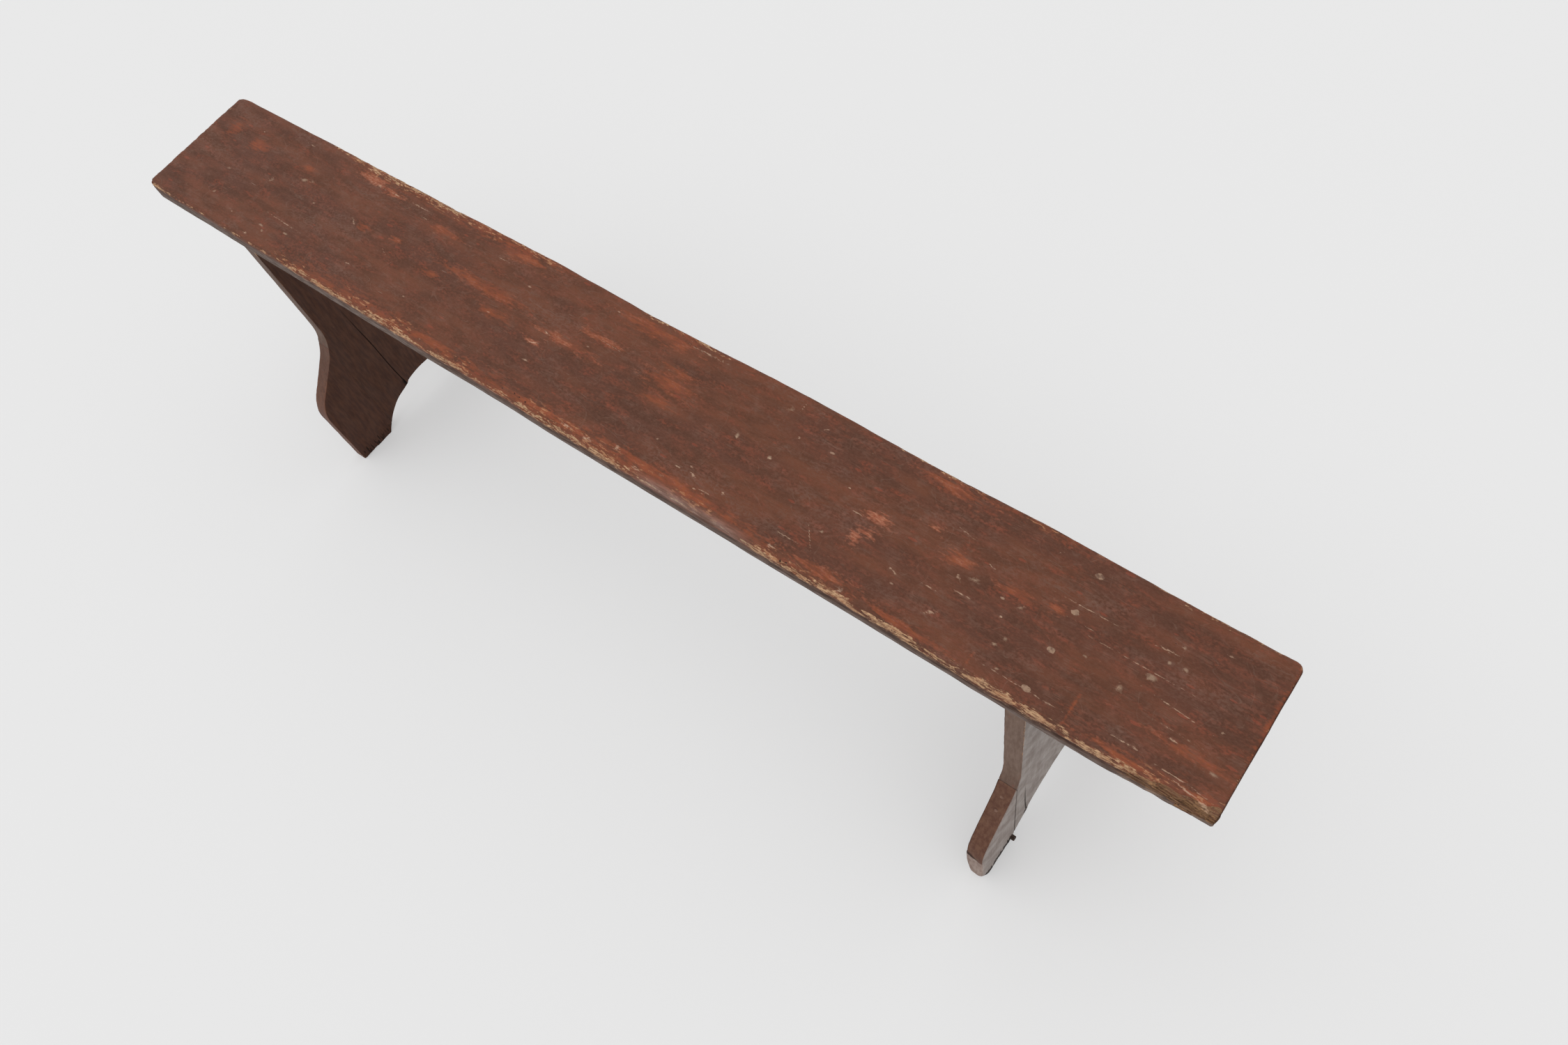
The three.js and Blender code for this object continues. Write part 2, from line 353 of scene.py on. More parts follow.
# Places for a mark: x, y, length and width in millimetres, its turn in degrees and how solid it is
marks = {
    "drops": [
        (621, 3, 9, 6, 0, 1), (641, 24, 4.5, 4, 0, 0.8), (631, 41, 4.5, 4, 0, 0.7),
        (627, 23, 3.5, 3, 0, 0.8), (566, -10, 4, 3, 0, 0.8), (496, -42, 5, 4, 0, 0.8),
        (501, -33, 5, 4, 0, 0.8), (450, 1, 11, 5, 0, 0.6), (498, 0, 11, 5, 30, 0.5),
        (604, -19, 6, 9, 30, 0.7), (-523, 21, 11, 6, 8, 0.7), (-511, 24, 8, 5, 0, 0.6),
        (-564, 1, 9, 7, 0, 0.6), (-483, 1, 6, 4, 0, 0.6), (-519, -57, 8, 3, -4, 0.8),
        (-511, -63, 5, 4, 0, 0.8), (-479, -51, 7, 3, 0, 0.9), (303, -33, 4, 4, 0, 0.8),
        (212, 6, 4, 4, 0, 1), (169, 9, 4, 6, 20, 0.9), (700, -43, 8, 4, 0, 0.6),
        (-715, 57, 4, 4, 0, 0.6), (197, 62, 9, 7, 0, 0.5), (510, -60, 4, 3, 0, 0.7),
        (-620, -50, 5, 4, 30, 0.6), (-632, -14, 7, 5, 0, 0.5),
    ],
    "wormholes": [
        (-69, -73, 2.4, 1.8, 0, 1), (-61, -74, 2, 1.6, 0, 1), (-51, -75, 2.4, 1.6, 0, 1),
        (287, -78, 2.4, 1.8, 0, 1), (293, -77, 2, 1.6, 0, 1), (-330, -77, 2.2, 1.6, 0, 1),
        (-304, -76, 2, 1.6, 0, 1), (-86, -75, 1.8, 1.4, 0, 1),
    ],
    "scratches": [
        (-493, -40, 62, 1.4, -2, 0.9), (551, 29, 64, 1.2, 0, 0.9), (611, 8, 94, 0.9, 0, 0.8),
        (654, -11, 58, 1.2, -5, 0.9), (540, -63, 88, 1.3, 0, 0.9), (632, -58, 28, 1.8, 0, 1),
        (674, -61, 34, 1.4, 0, 1), (661, -35, 8, 2.6, 3, 1.1), (418, 37, 17, 1.3, -12, 1),
        (447, -17, 18, 1.6, 0, 1.1), (418, -27, 15, 1.4, 0, 0.9), (432, -47, 13, 5, 30, 0.8),
        (382, -31, 13, 2, -15, 1), (436, -5, 9, 3, -35, 1), (620, 32, 20, 3, 6, 0.8),
        (487, -17, 2.6, 2.4, 0, 1.3), (139, -50, 6, 2.6, 0, 1.1), (158, -50, 8, 3, -10, 1.1),
        (152, -43, 5, 2.6, -20, 1), (196, -50, 5, 3, 0, 1), (130, -67, 9, 2.4, -5, 1),
        (180, -59, 14, 1.8, 0, 1), (169, -62, 4, 2.2, 0, 1), (71, -66, 8, 5, 20, 1),
        (278, -55, 24, 1.4, 0, 1.1), (295, -42, 30, 1, -50, 0.9), (299, 19, 3, 2.4, 0, 1.1),
        (169, 7, 4, 3, -40, 1.1), (84, 72, 50, 2.2, 1, 0.9), (-88, -35, 8, 2.2, 0, 1.1),
        (-414, 6, 12, 3, -30, 1), (-425, 62, 26, 3, -1, 0.9), (-528, -76, 7, 2.6, 0, 1),
        (207, 70, 1.8, 14, 2, 0.7), (320, 1, 12, 2, 0, 1), (-374, -43, 16, 1.8, 0, 0.9),
        (666, 55, 7, 2, 0, 0.9), (-20, 27, 40, 1.2, -2, 0.8), (558, 14, 46, 1, 0, 0.6),
        (664, -28, 60, 1.3, -2, 0.6), (690, -8, 3, 2.4, 0, 1), (213, 5, 3.4, 2.2, 0, 1.1),
        (224, 39, 4, 2.2, -20, 1), (100, -36, 4, 2, 0, 0.9), (272, -71, 10, 6, 0, 0.9),
        (-170, -9, 6, 2, 0, 0.9), (-92, 4, 12, 2, -8, 0.9), (-96, -13, 10, 3, 20, 1),
        (688, -66, 22, 2, -8, 1), (700, -63, 20, 1.6, -6, 0.9), (706, -69, 15, 3, -12, 1),
        (352, -73, 6, 5, 0, 1.1), (-395, 62, 14, 2, 0, 1), (-352, 63, 30, 1.6, -1, 1),
        (-345, -8, 20, 1.2, -25, 0.5), (243, 61, 7, 2, 30, 0.8), (-330, 53, 20, 1.6, 0, 0.7),
        (-205, 55, 32, 1.4, 0, 0.7), (-560, 67, 14, 1.6, 0, 0.9), (8, -74, 18, 5, 0, 0.9),
        (36, -74, 12, 5, 0, 0.9), (104, -75, 16, 4, 0, 0.8), (455, 20, 18, 1.2, -14, 0.6),
        (500, 65, 12, 1.2, 40, 0.5),
    ],
}

# Soft patches where the upper coat is rubbed thin: x, y, half length and half width in millimetres,
# and how far the middle is rubbed to pale wood
rubs = [
    (391, 26, 10, 4, 1.0), (340, 8, 15, 6, 1.0), (342, -12, 8, 6, 0.9), (332, -20, 7, 8, 1.0),
    (-204, 15, 80, 8, 0.2), (-66, 5, 46, 6, 0.5), (-97, -14, 12, 5, 0.8), (-30, 28, 34, 5, 0.4),
    (66, 20, 34, 10, 0.2), (66, 37, 26, 5, 0.2), (72, 0, 24, 6, 0.1), (428, 10, 18, 8, 0.3),
    (489, 8, 22, 6, 0.2), (-627, 31, 20, 9, 0.0), (-681, 38, 12, 16, 0.0), (523, 16, 10, 5, 0.3),
    (-300, 50, 30, 6, 0.3), (-344, 12, 10, 5, 0.2), (-396, 5, 10, 5, 0.1), (-533, 37, 10, 5, 0.0),
    (-270, -3, 16, 6, 0.0), (-162, -8, 26, 6, 0.1), (-440, 67, 26, 7, 0.8), (-400, 62, 20, 5, 0.6),
    (680, -38, 38, 4, 0.2), (632, -70, 34, 4, 0.3), (579, -57, 1.6, 18, 0.0), (484, -66, 1.6, 8, 0.2),
    (706, -67, 14, 6, 0.3), (145, -68, 110, 7, 0.2), (-200, -72, 60, 6, 0.2), (330, -68, 40, 6, 0.4),
    (-15, -74, 60, 5, 0.4), (718, 20, 4, 34, 0.0), (385, 70, 40, 8, 0.3), (-190, 70, 50, 9, 0.3),
    (20, 66, 60, 10, 0.2), (420, -72, 50, 5, 0.2),
]


def rubbedThin(x, y):
    thin = pale = np.zeros(len(x))
    for atX, atY, long, wide, heart in rubs:
        spot = np.exp(-((x - atX) / long) ** 2 - ((y - atY) / wide) ** 2)
        thin = np.maximum(thin, spot)
        pale = np.maximum(pale, heart * spot)
    return thin, pale


# What every painted piece shares. Sizes are millimetres, the first along the grain.
paint = {
    "gloss": 0.2,
    "noiseRoughness": 0.58,
    # how far one pattern is moved from the next, so that no two run alike
    "patternShift": 0.37, "fleckShift": 0.53, "hairShift": 0.71,
    # the attributes that the meshes carry
    "wear": [
        "bare", "coat", "rub", "heart", "side", "shadeInside", "dust", "weathered", "soleShadowAndGrime", "crackAndShade", "broken",
    ],
    "wobble": (0.8, 0.5, 0),  # how far flecks and marks stray
    "dustMix": (0.7, 0.3),  # the shares of a look's pattern of dust with painted sheen and of fine streaks
    # marks: how much wider their soft ovals are than what shows, and how deep they reach
    "markShare": 1.3, "markDeep": 30,
    # flecks: cell, largest radius as a share of the cell, and the chance below which a cell is plain
    "flecks": {
        "specks": ((30, 14, 14), 0.1, 0.66),
        "hairs": ((55, 6, 6), 0.11, 0.68),
        "pits": ((14, 8, 8), 0.11, 0.72),
        "reds": ((30, 9, 9), 0.2, 0.6),
    },
    "fleckEdge": 0.04,
    # hair scratches: the broad noises whose contour lines they follow, and how thin the lines are
    "hairNoises": {"hair0": (90, 26, 26), "hair1": (46, 46, 46)},
    "hairLine": (0.006, 0.001),
    # noises that break the edges of worn paint: a pattern, its strength, and what it is added to
    "breakers": {
        "ragged": ("patch", 0.55, -0.55),
        "hairy": ("fibre", 0.55, "ragged"),
        "soft": ("mottle", 0.35, "ragged"),
        "fibrous": ("fibre", 0.16, "ragged"),
        "blocky": ("fine", 0.38, "fibrous"),
        "clumped": ("clump", 0.8, -1.7),
        "flaky": ("chip", 0.9, "clumped"),
    },
    # masks: the attribute, its breaker, and where it starts to show and shows in full
    "masks": {
        "coat": ("coat", "soft", 0.2, 1.05),
        "rub": ("rub", "soft", 0.2, 0.85),
        "rubHeart": ("heart", "soft", 0.2, 0.8),
        "chips": ("coat", "flaky", 0.3, 0.55),
        "straw": ("bare", "blocky", 0.72, 0.92),
        "raw": ("broken", "hairy", 0.45, 0.85),
        # the sole band is a painted contact shadow with grime
        "soleShadowAndGrime": ("soleShadowAndGrime", "soft", 0.45, 0.7),
    },
    "wornFrom": 0.03,  # an attribute below this is whole paint
    "grimeFibre": (0.22, 0.02),
    # tints of what lies under the paint: the pattern they follow, dark and light
    "tints": {
        "straw": ("fine", "#86604a", "#cca681"),
        "raw": ("fibre", "#3c271b", "#7d5d45"),
        "heart": ("fine", "#8c452e", "#c48a6e"),
        "weathered": ("patch", "#846f66", "#a39187"),
    },
    # from the lowest to the last: tint, mask, strength
    "coats": [
        ("face", "side", 0.85), ("#8b7568", "hair0", 0.15), ("#9a8070", "hair1", 0.12),
        ("coat", "rub", 0.68), ("heart", "rubHeart", 0.58), ("coat", "coat", 0.72),
        ("chips", "chips", 0.7), ("straw", "straw", 0.95), ("#b3744c", "warmWood", 0.55),
        ("#4a3529", "grime", 0.62), ("raw", "raw", 0.95), ("#ad8159", "rawPale", 0.6),
        ("#a68b74", "drops", 0.64), ("#c9a88e", "scratches", 0.56), ("#1f130e", "wormholes", 0.85),
        ("#bd9c84", "specks", 0.5), ("#9a8070", "hairs", 0.4), ("#9c4a35", "reds", 0.32),
        # the inner tint is painted shade under the seat and on the legs' inner faces, and the dust tint also
        # carries a painted grazing sheen
        ("#2a1c16", "pits", 0.55), ("shadeInside", "shadeInside", 0.88), ("dust", "dust", 0.85),
        # the near-black sole tint is a painted contact shadow with grime; the last tint darkens cracks and
        # joints, with painted shade in the plank's end arrises and under the toe's step
        ("weathered", "weathered", 0.9), ("#1d1511", "soleShadowAndGrime", 0.92), ("#17100d", "crackAndShade", 1.0),
    ],
    # how rough whole paint and bare wood are, and what a broad tone, an edge and a dark hollow add
    "paintRough": 0.52, "bareRough": 0.82, "toneRough": 0.12, "edgeRough": 0.3, "hollowRough": 0.5,
    "flakeHeight": -2.0, "bumpStrength": 0.6, "bumpHeight": 0.12,
}

seatLook = {
    "grain": (0, 1, 2),
    "base": "#5b3526",
    # size, detail, low, high
    "patterns": {
        "cloud": ((150, 40, 40), 2, 0.38, 0.62),
        "tone": ((60, 16, 16), 3, 0.42, 0.62),
        "streak": ((36, 1.7, 1.7), 3, 0.4, 0.72),
        "blotch": ((26, 9, 9), 4, 0.45, 0.64),
        "fine": ((4.2, 1.5, 1.5), 4, 0.3, 0.72),
        "mottle": ((3.6, 2.2, 2.2), 3, 0.35, 0.7),
        "smear": ((60, 20, 20), 4, 0.5, 0.68),
        "ember": ((34, 9, 9), 5, 0.53, 0.7),
        "patch": ((18, 4, 4), 3, 0.36, 0.64),
        "fibre": ((26, 0.9, 0.9), 3, 0.38, 0.62),
        "scuff": ((16, 16, 16), 5, 0.52, 0.66),
        "grit": ((2.2, 1.4, 1.4), 2, 0.38, 0.7),
        "chip": ((9, 2.3, 2.3), 4, 0.47, 0.6),
        "clump": ((44, 14, 14), 2, 0.44, 0.58),
    },
    # tint, pattern, a second pattern that breaks it up, strength
    "layers": [
        ("#72412a", "cloud", None, 0.66), ("#4a2f22", "tone", None, 0.46),
        ("#7a3f2b", "blotch", "mottle", 0.7), ("#432a1b", "streak", "patch", 0.32),
        ("#87412b", "ember", "mottle", 0.8), ("#735a4f", "smear", "mottle", 0.45),
        ("#452b20", "fine", "mottle", 0.3), ("#7d5d4f", "scuff", "fibre", 0.3),
        ("#7a5140", "mottle", None, 0.22), ("#8d6854", "grit", "fine", 0.1),
    ],
    "marks": marks,
    # the pattern that breaks each kind and how far, then where it starts to show and shows in full
    "markEdges": {
        "drops": ("mottle", 0.3, 0.36, 0.8),
        "wormholes": ("fine", 0.2, 0.3, 0.6),
        "scratches": ("fine", 0.9, 0.84, 1.4),
    },
    "tints": {
        "coat": ("mottle", "#98502f", "#7f402b"),
        "chips": ("fine", "#94593c", "#c08f69"),
        # the dust tint is dust with a painted grazing sheen
        "dust": ("dusty", "#67554c", "#958a84"),
        "face": ("patch", "#2d1f19", "#594338"),
        # the inner tint is painted shade on the plank's underside
        "shadeInside": ("patch", "#372319", "#432b1f"),
    },
    "dusty": "patch",
    "strengths": {},
}

legLook = {
    "grain": (2, 1, 0),
    "base": "#584136",
    "patterns": {
        "cloud": ((120, 40, 40), 2, 0.38, 0.62),
        "tone": ((50, 14, 14), 3, 0.4, 0.65),
        "streak": ((60, 1.4, 1.4), 3, 0.4, 0.7),
        "fine": ((12, 1.0, 1.0), 4, 0.3, 0.75),
        "mottle": ((14, 2.4, 2.4), 3, 0.35, 0.7),
        "smear": ((60, 14, 14), 4, 0.45, 0.7),
        "ember": ((40, 9, 9), 4, 0.54, 0.72),
        "patch": ((22, 4, 4), 3, 0.3, 0.7),
        "fibre": ((40, 1.0, 1.0), 3, 0.32, 0.68),
        "scuff": ((60, 14, 14), 5, 0.52, 0.66),
        "slanted": ((46, 15, 15), 6, 0.34, 0.68),
    },
    "slant": 34,  # degrees that the scuffs lean over on the outer face
    "layers": [
        ("#685045", "cloud", None, 0.5), ("#4f3c33", "tone", None, 0.45),
        ("#43322a", "streak", None, 0.3), ("#7a6a61", "smear", "fine", 0.5),
        ("#744a39", "ember", "mottle", 0.4), ("#4b382f", "fine", None, 0.25),
        ("#7f6a5f", "scuff", "fibre", 0.35), ("#6f574a", "mottle", None, 0.2),
    ],
    "marks": {},
    "tints": {
        "coat": ("mottle", "#805540", "#6b4434"),
        # the dust tint is dust with a painted grazing sheen
        "dust": ("dusty", "#7b6e67", "#aaa19b"),
        "face": ("patch", "#6a5549", "#7d685c"),
        # the inner tint is painted shade on the faces that turn in under the seat
        "shadeInside": ("patch", "#35190d", "#4b2b1a"),
    },
    "dusty": "slanted",
    "strengths": {"reds": 0.12},
}

wingLook = dict(legLook, base="#633f33", tints=dict(legLook["tints"], face=("patch", "#5a3a2e", "#70503f")))


# Coordinates for a pattern whose features measure size in millimetres, its first length along the grain
def patternPlace(tree, place, grain, size, shift, slant=0):
    scale = [0, 0, 0]
    for axis, length in zip(grain, size):
        scale[axis] = length * mm
    return addNode(tree, "ShaderNodeMapping", {
        "Vector": place, "Location": (shift,) * 3, "Rotation": (math.radians(slant), 0, 0), "Scale": scale,
    }, vector_type="TEXTURE")


# Each kind of mark is the highest of its soft ovals, broken up by a pattern
def markMasks(tree, place, fields, look):
    masks = {}
    for kind, spots in look["marks"].items():
        highest = None
        for x, y, long, wide, turn, solid in spots:
            reach = mm / paint["markShare"]
            oval = addNode(tree, "ShaderNodeMapping", {
                "Vector": place, "Location": (x * mm, y * mm, cadBox[1][2]),
                "Rotation": (0, 0, math.radians(turn)),
                "Scale": (long * reach, wide * reach, paint["markDeep"] * mm),
            }, vector_type="TEXTURE")
            ball = addNode(tree, "ShaderNodeTexGradient", {"Vector": oval}, gradient_type="SPHERICAL")
            spot = addNode(tree, "ShaderNodeMath", {0: ball.outputs["Fac"], 1: solid}, operation="MULTIPLY")
            if highest:
                spot = addNode(tree, "ShaderNodeMath", {0: spot, 1: highest}, operation="MAXIMUM")
            highest = spot
        breaker, much, low, high = look["markEdges"][kind]
        rough = addNode(tree, "ShaderNodeMath", {0: fields[breaker], 1: much, 2: highest},
                        operation="MULTIPLY_ADD")
        masks[kind] = addNode(tree, "ShaderNodeMapRange", {"Value": rough, "From Min": low, "From Max": high})
    return masks


# Scattered flecks: one oval in each cell of a Voronoi pattern, shown where the cell's chance says so.
# Hair scratches: the contour lines of broad noises, here and there.
def fleckMasks(tree, place, loose, fields, look):
    masks = {}
    for index, (key, (cell, radius, chance)) in enumerate(paint["flecks"].items()):
        moved = patternPlace(tree, loose, look["grain"], cell, index * paint["fleckShift"])
        cells = addNode(tree, "ShaderNodeTexVoronoi", {"Vector": moved, "Scale": 1.0})
        luck = addNode(tree, "ShaderNodeSeparateColor", {"Color": cells.outputs["Color"]}).outputs
        chosen = addNode(tree, "ShaderNodeMath", {0: luck[0], 1: chance}, operation="GREATER_THAN")
        reach = addNode(tree, "ShaderNodeMath", {0: luck[1], 1: radius}, operation="MULTIPLY")
        near = addNode(tree, "ShaderNodeMath", {0: reach, 1: cells.outputs["Distance"]},
                       operation="SUBTRACT")
        shown = addNode(tree, "ShaderNodeMapRange", {
            "Value": near, "From Min": 0.0, "From Max": paint["fleckEdge"],
        })
        masks[key] = addNode(tree, "ShaderNodeMath", {0: shown, 1: chosen}, operation="MULTIPLY")
    for index, (key, size) in enumerate(paint["hairNoises"].items()):
        moved = patternPlace(tree, place, look["grain"], size, index * paint["hairShift"])
        noise = addNode(tree, "ShaderNodeTexNoise", {"Vector": moved, "Scale": 1.0, "Detail": 1.0})
        level = addNode(tree, "ShaderNodeMath", {0: noise, 1: 0.5}, operation="SUBTRACT")
        away = addNode(tree, "ShaderNodeMath", {0: level}, operation="ABSOLUTE")
        edge, core = paint["hairLine"]
        thin = addNode(tree, "ShaderNodeMapRange", {"Value": away, "From Min": edge, "From Max": core})
        masks[key] = addNode(tree, "ShaderNodeMath", {0: thin, 1: fields["patch"]}, operation="MULTIPLY")
    return masks


# Wear: an attribute is 1 at a worn arris and 0 where the paint is whole, and noise breaks its edge
def wearMasks(tree, fields):
    worn = {}
    for key in paint["wear"]:
        worn[key] = addNode(tree, "ShaderNodeAttribute", attribute_name=key).outputs["Fac"]
    breakers = {}
    for key, (pattern, much, start) in paint["breakers"].items():
        if pattern in fields:
            breakers[key] = addNode(tree, "ShaderNodeMath", {
                0: fields[pattern], 1: much, 2: breakers.get(start, start),
            }, operation="MULTIPLY_ADD")
    masks = dict(worn)
    for key, (attribute, breaker, low, high) in paint["masks"].items():
        if breaker in breakers:
            level = addNode(tree, "ShaderNodeMath", {0: worn[attribute], 1: breakers[breaker]},
                            operation="ADD")
            shown = addNode(tree, "ShaderNodeMapRange", {"Value": level, "From Min": low, "From Max": high})
            gate = addNode(tree, "ShaderNodeMath", {0: worn[attribute], 1: paint["wornFrom"]},
                           operation="GREATER_THAN")
            masks[key] = addNode(tree, "ShaderNodeMath", {0: shown, 1: gate}, operation="MULTIPLY")
    low, high = paint["grimeFibre"]
    grimy = addNode(tree, "ShaderNodeMapRange", {"Value": fields["fibre"], "From Min": low, "From Max": high})
    masks["grime"] = addNode(tree, "ShaderNodeMath", {0: grimy, 1: worn["bare"]}, operation="MULTIPLY")
    pale = addNode(tree, "ShaderNodeMath", {0: fields["patch"], 1: fields["fine"]}, operation="MULTIPLY")
    masks["rawPale"] = addNode(tree, "ShaderNodeMath", {0: masks["raw"], 1: pale}, operation="MULTIPLY")
    masks["warmWood"] = addNode(tree, "ShaderNodeMath", {0: masks["straw"], 1: fields["ember"]},
                                operation="MULTIPLY")
    return masks


# Old oil paint brushed on a hand-planed softwood board: a dull dark red-brown coat over an orange-red
# one, rubbed through to straw-coloured wood on the arrises, with scratches, drops and grime.
def paintedWood(name, look):
    material, tree, shader = startMaterial(name, paint["paintRough"], paint["gloss"])
    place = addNode(tree, "ShaderNodeTexCoord").outputs["Object"]

    fields = {}
    for index, (key, (size, detail, low, high)) in enumerate(look["patterns"].items()):
        slant = look["slant"] if key == "slanted" else 0
        moved = patternPlace(tree, place, look["grain"], size, index * paint["patternShift"], slant)
        noise = addNode(tree, "ShaderNodeTexNoise", {
            "Vector": moved, "Scale": 1.0, "Detail": detail, "Roughness": paint["noiseRoughness"],
        })
        fields[key] = addNode(tree, "ShaderNodeMapRange", {
            "Value": noise, "From Min": low, "From Max": high,
        }, interpolation_type="SMOOTHSTEP")
    veil, streaks = paint["dustMix"]
    veiled = addNode(tree, "ShaderNodeMath", {0: fields[look["dusty"]], 1: veil}, operation="MULTIPLY")
    fields["dusty"] = addNode(tree, "ShaderNodeMath", {0: fields["fibre"], 1: streaks, 2: veiled},
                              operation="MULTIPLY_ADD")
    wobble = addNode(tree, "ShaderNodeVectorMath", {
        0: fields["mottle"], 1: [length * mm for length in paint["wobble"]],
    }, operation="MULTIPLY")
    loose = addNode(tree, "ShaderNodeVectorMath", {0: place, 1: wobble}, operation="ADD")
    masks = {
        **wearMasks(tree, fields),
        **fleckMasks(tree, place, loose, fields, look),
        **markMasks(tree, loose, fields, look),
    }

    now = colour(look["base"])
    for hexText, key, breaker, strength in look["layers"]:
        part = addNode(tree, "ShaderNodeMath", {0: fields[key], 1: strength}, operation="MULTIPLY")
        if breaker:
            part = addNode(tree, "ShaderNodeMath", {0: part, 1: fields[breaker]}, operation="MULTIPLY")
        mixed = addNode(tree, "ShaderNodeMix", {0: part, 6: now, 7: colour(hexText)}, data_type="RGBA")
        now = mixed.outputs[2]
    tints = {}
    for key, (pattern, dark, light) in {**paint["tints"], **look["tints"]}.items():
        mixed = addNode(tree, "ShaderNodeMix", {
            0: fields[pattern], 6: colour(dark), 7: colour(light),
        }, data_type="RGBA")
        tints[key] = mixed.outputs[2]
    for tint, key, strength in paint["coats"]:
        if key in masks:
            part = addNode(tree, "ShaderNodeMath", {0: masks[key], 1: look["strengths"].get(key, strength)},
                           operation="MULTIPLY")
            over = tints[tint] if tint in tints else colour(tint)
            mixed = addNode(tree, "ShaderNodeMix", {0: part, 6: now, 7: over}, data_type="RGBA")
            now = mixed.outputs[2]
    tree.links.new(now, shader.inputs["Base Color"])

    # Paint is a little shinier than the bare wood
    rough = addNode(tree, "ShaderNodeMapRange", {
        "Value": masks["straw"], "To Min": paint["paintRough"], "To Max": paint["bareRough"],
    })
    hollow = addNode(tree, "ShaderNodeMath", {0: masks["soleShadowAndGrime"], 1: masks["crackAndShade"]}, operation="MAXIMUM")
    roughened = {"toneRough": fields["tone"], "edgeRough": masks["side"], "hollowRough": hollow}
    for key, source in roughened.items():
        rough = addNode(tree, "ShaderNodeMath", {0: source, 1: paint[key], 2: rough},
                        operation="MULTIPLY_ADD")
    rough.use_clamp = True
    tree.links.new(rough.outputs[0], shader.inputs["Roughness"])

    height = addNode(tree, "ShaderNodeMath", {0: fields["streak"], 1: fields["fine"]}, operation="ADD")
    flaked = addNode(tree, "ShaderNodeMath", {0: masks["straw"], 1: paint["flakeHeight"], 2: height},
                     operation="MULTIPLY_ADD")
    bump = addNode(tree, "ShaderNodeBump", {
        "Height": flaked, "Strength": paint["bumpStrength"], "Distance": paint["bumpHeight"] * mm,
    })
    tree.links.new(bump.outputs["Normal"], shader.inputs["Normal"])
    return material


# Seat plank

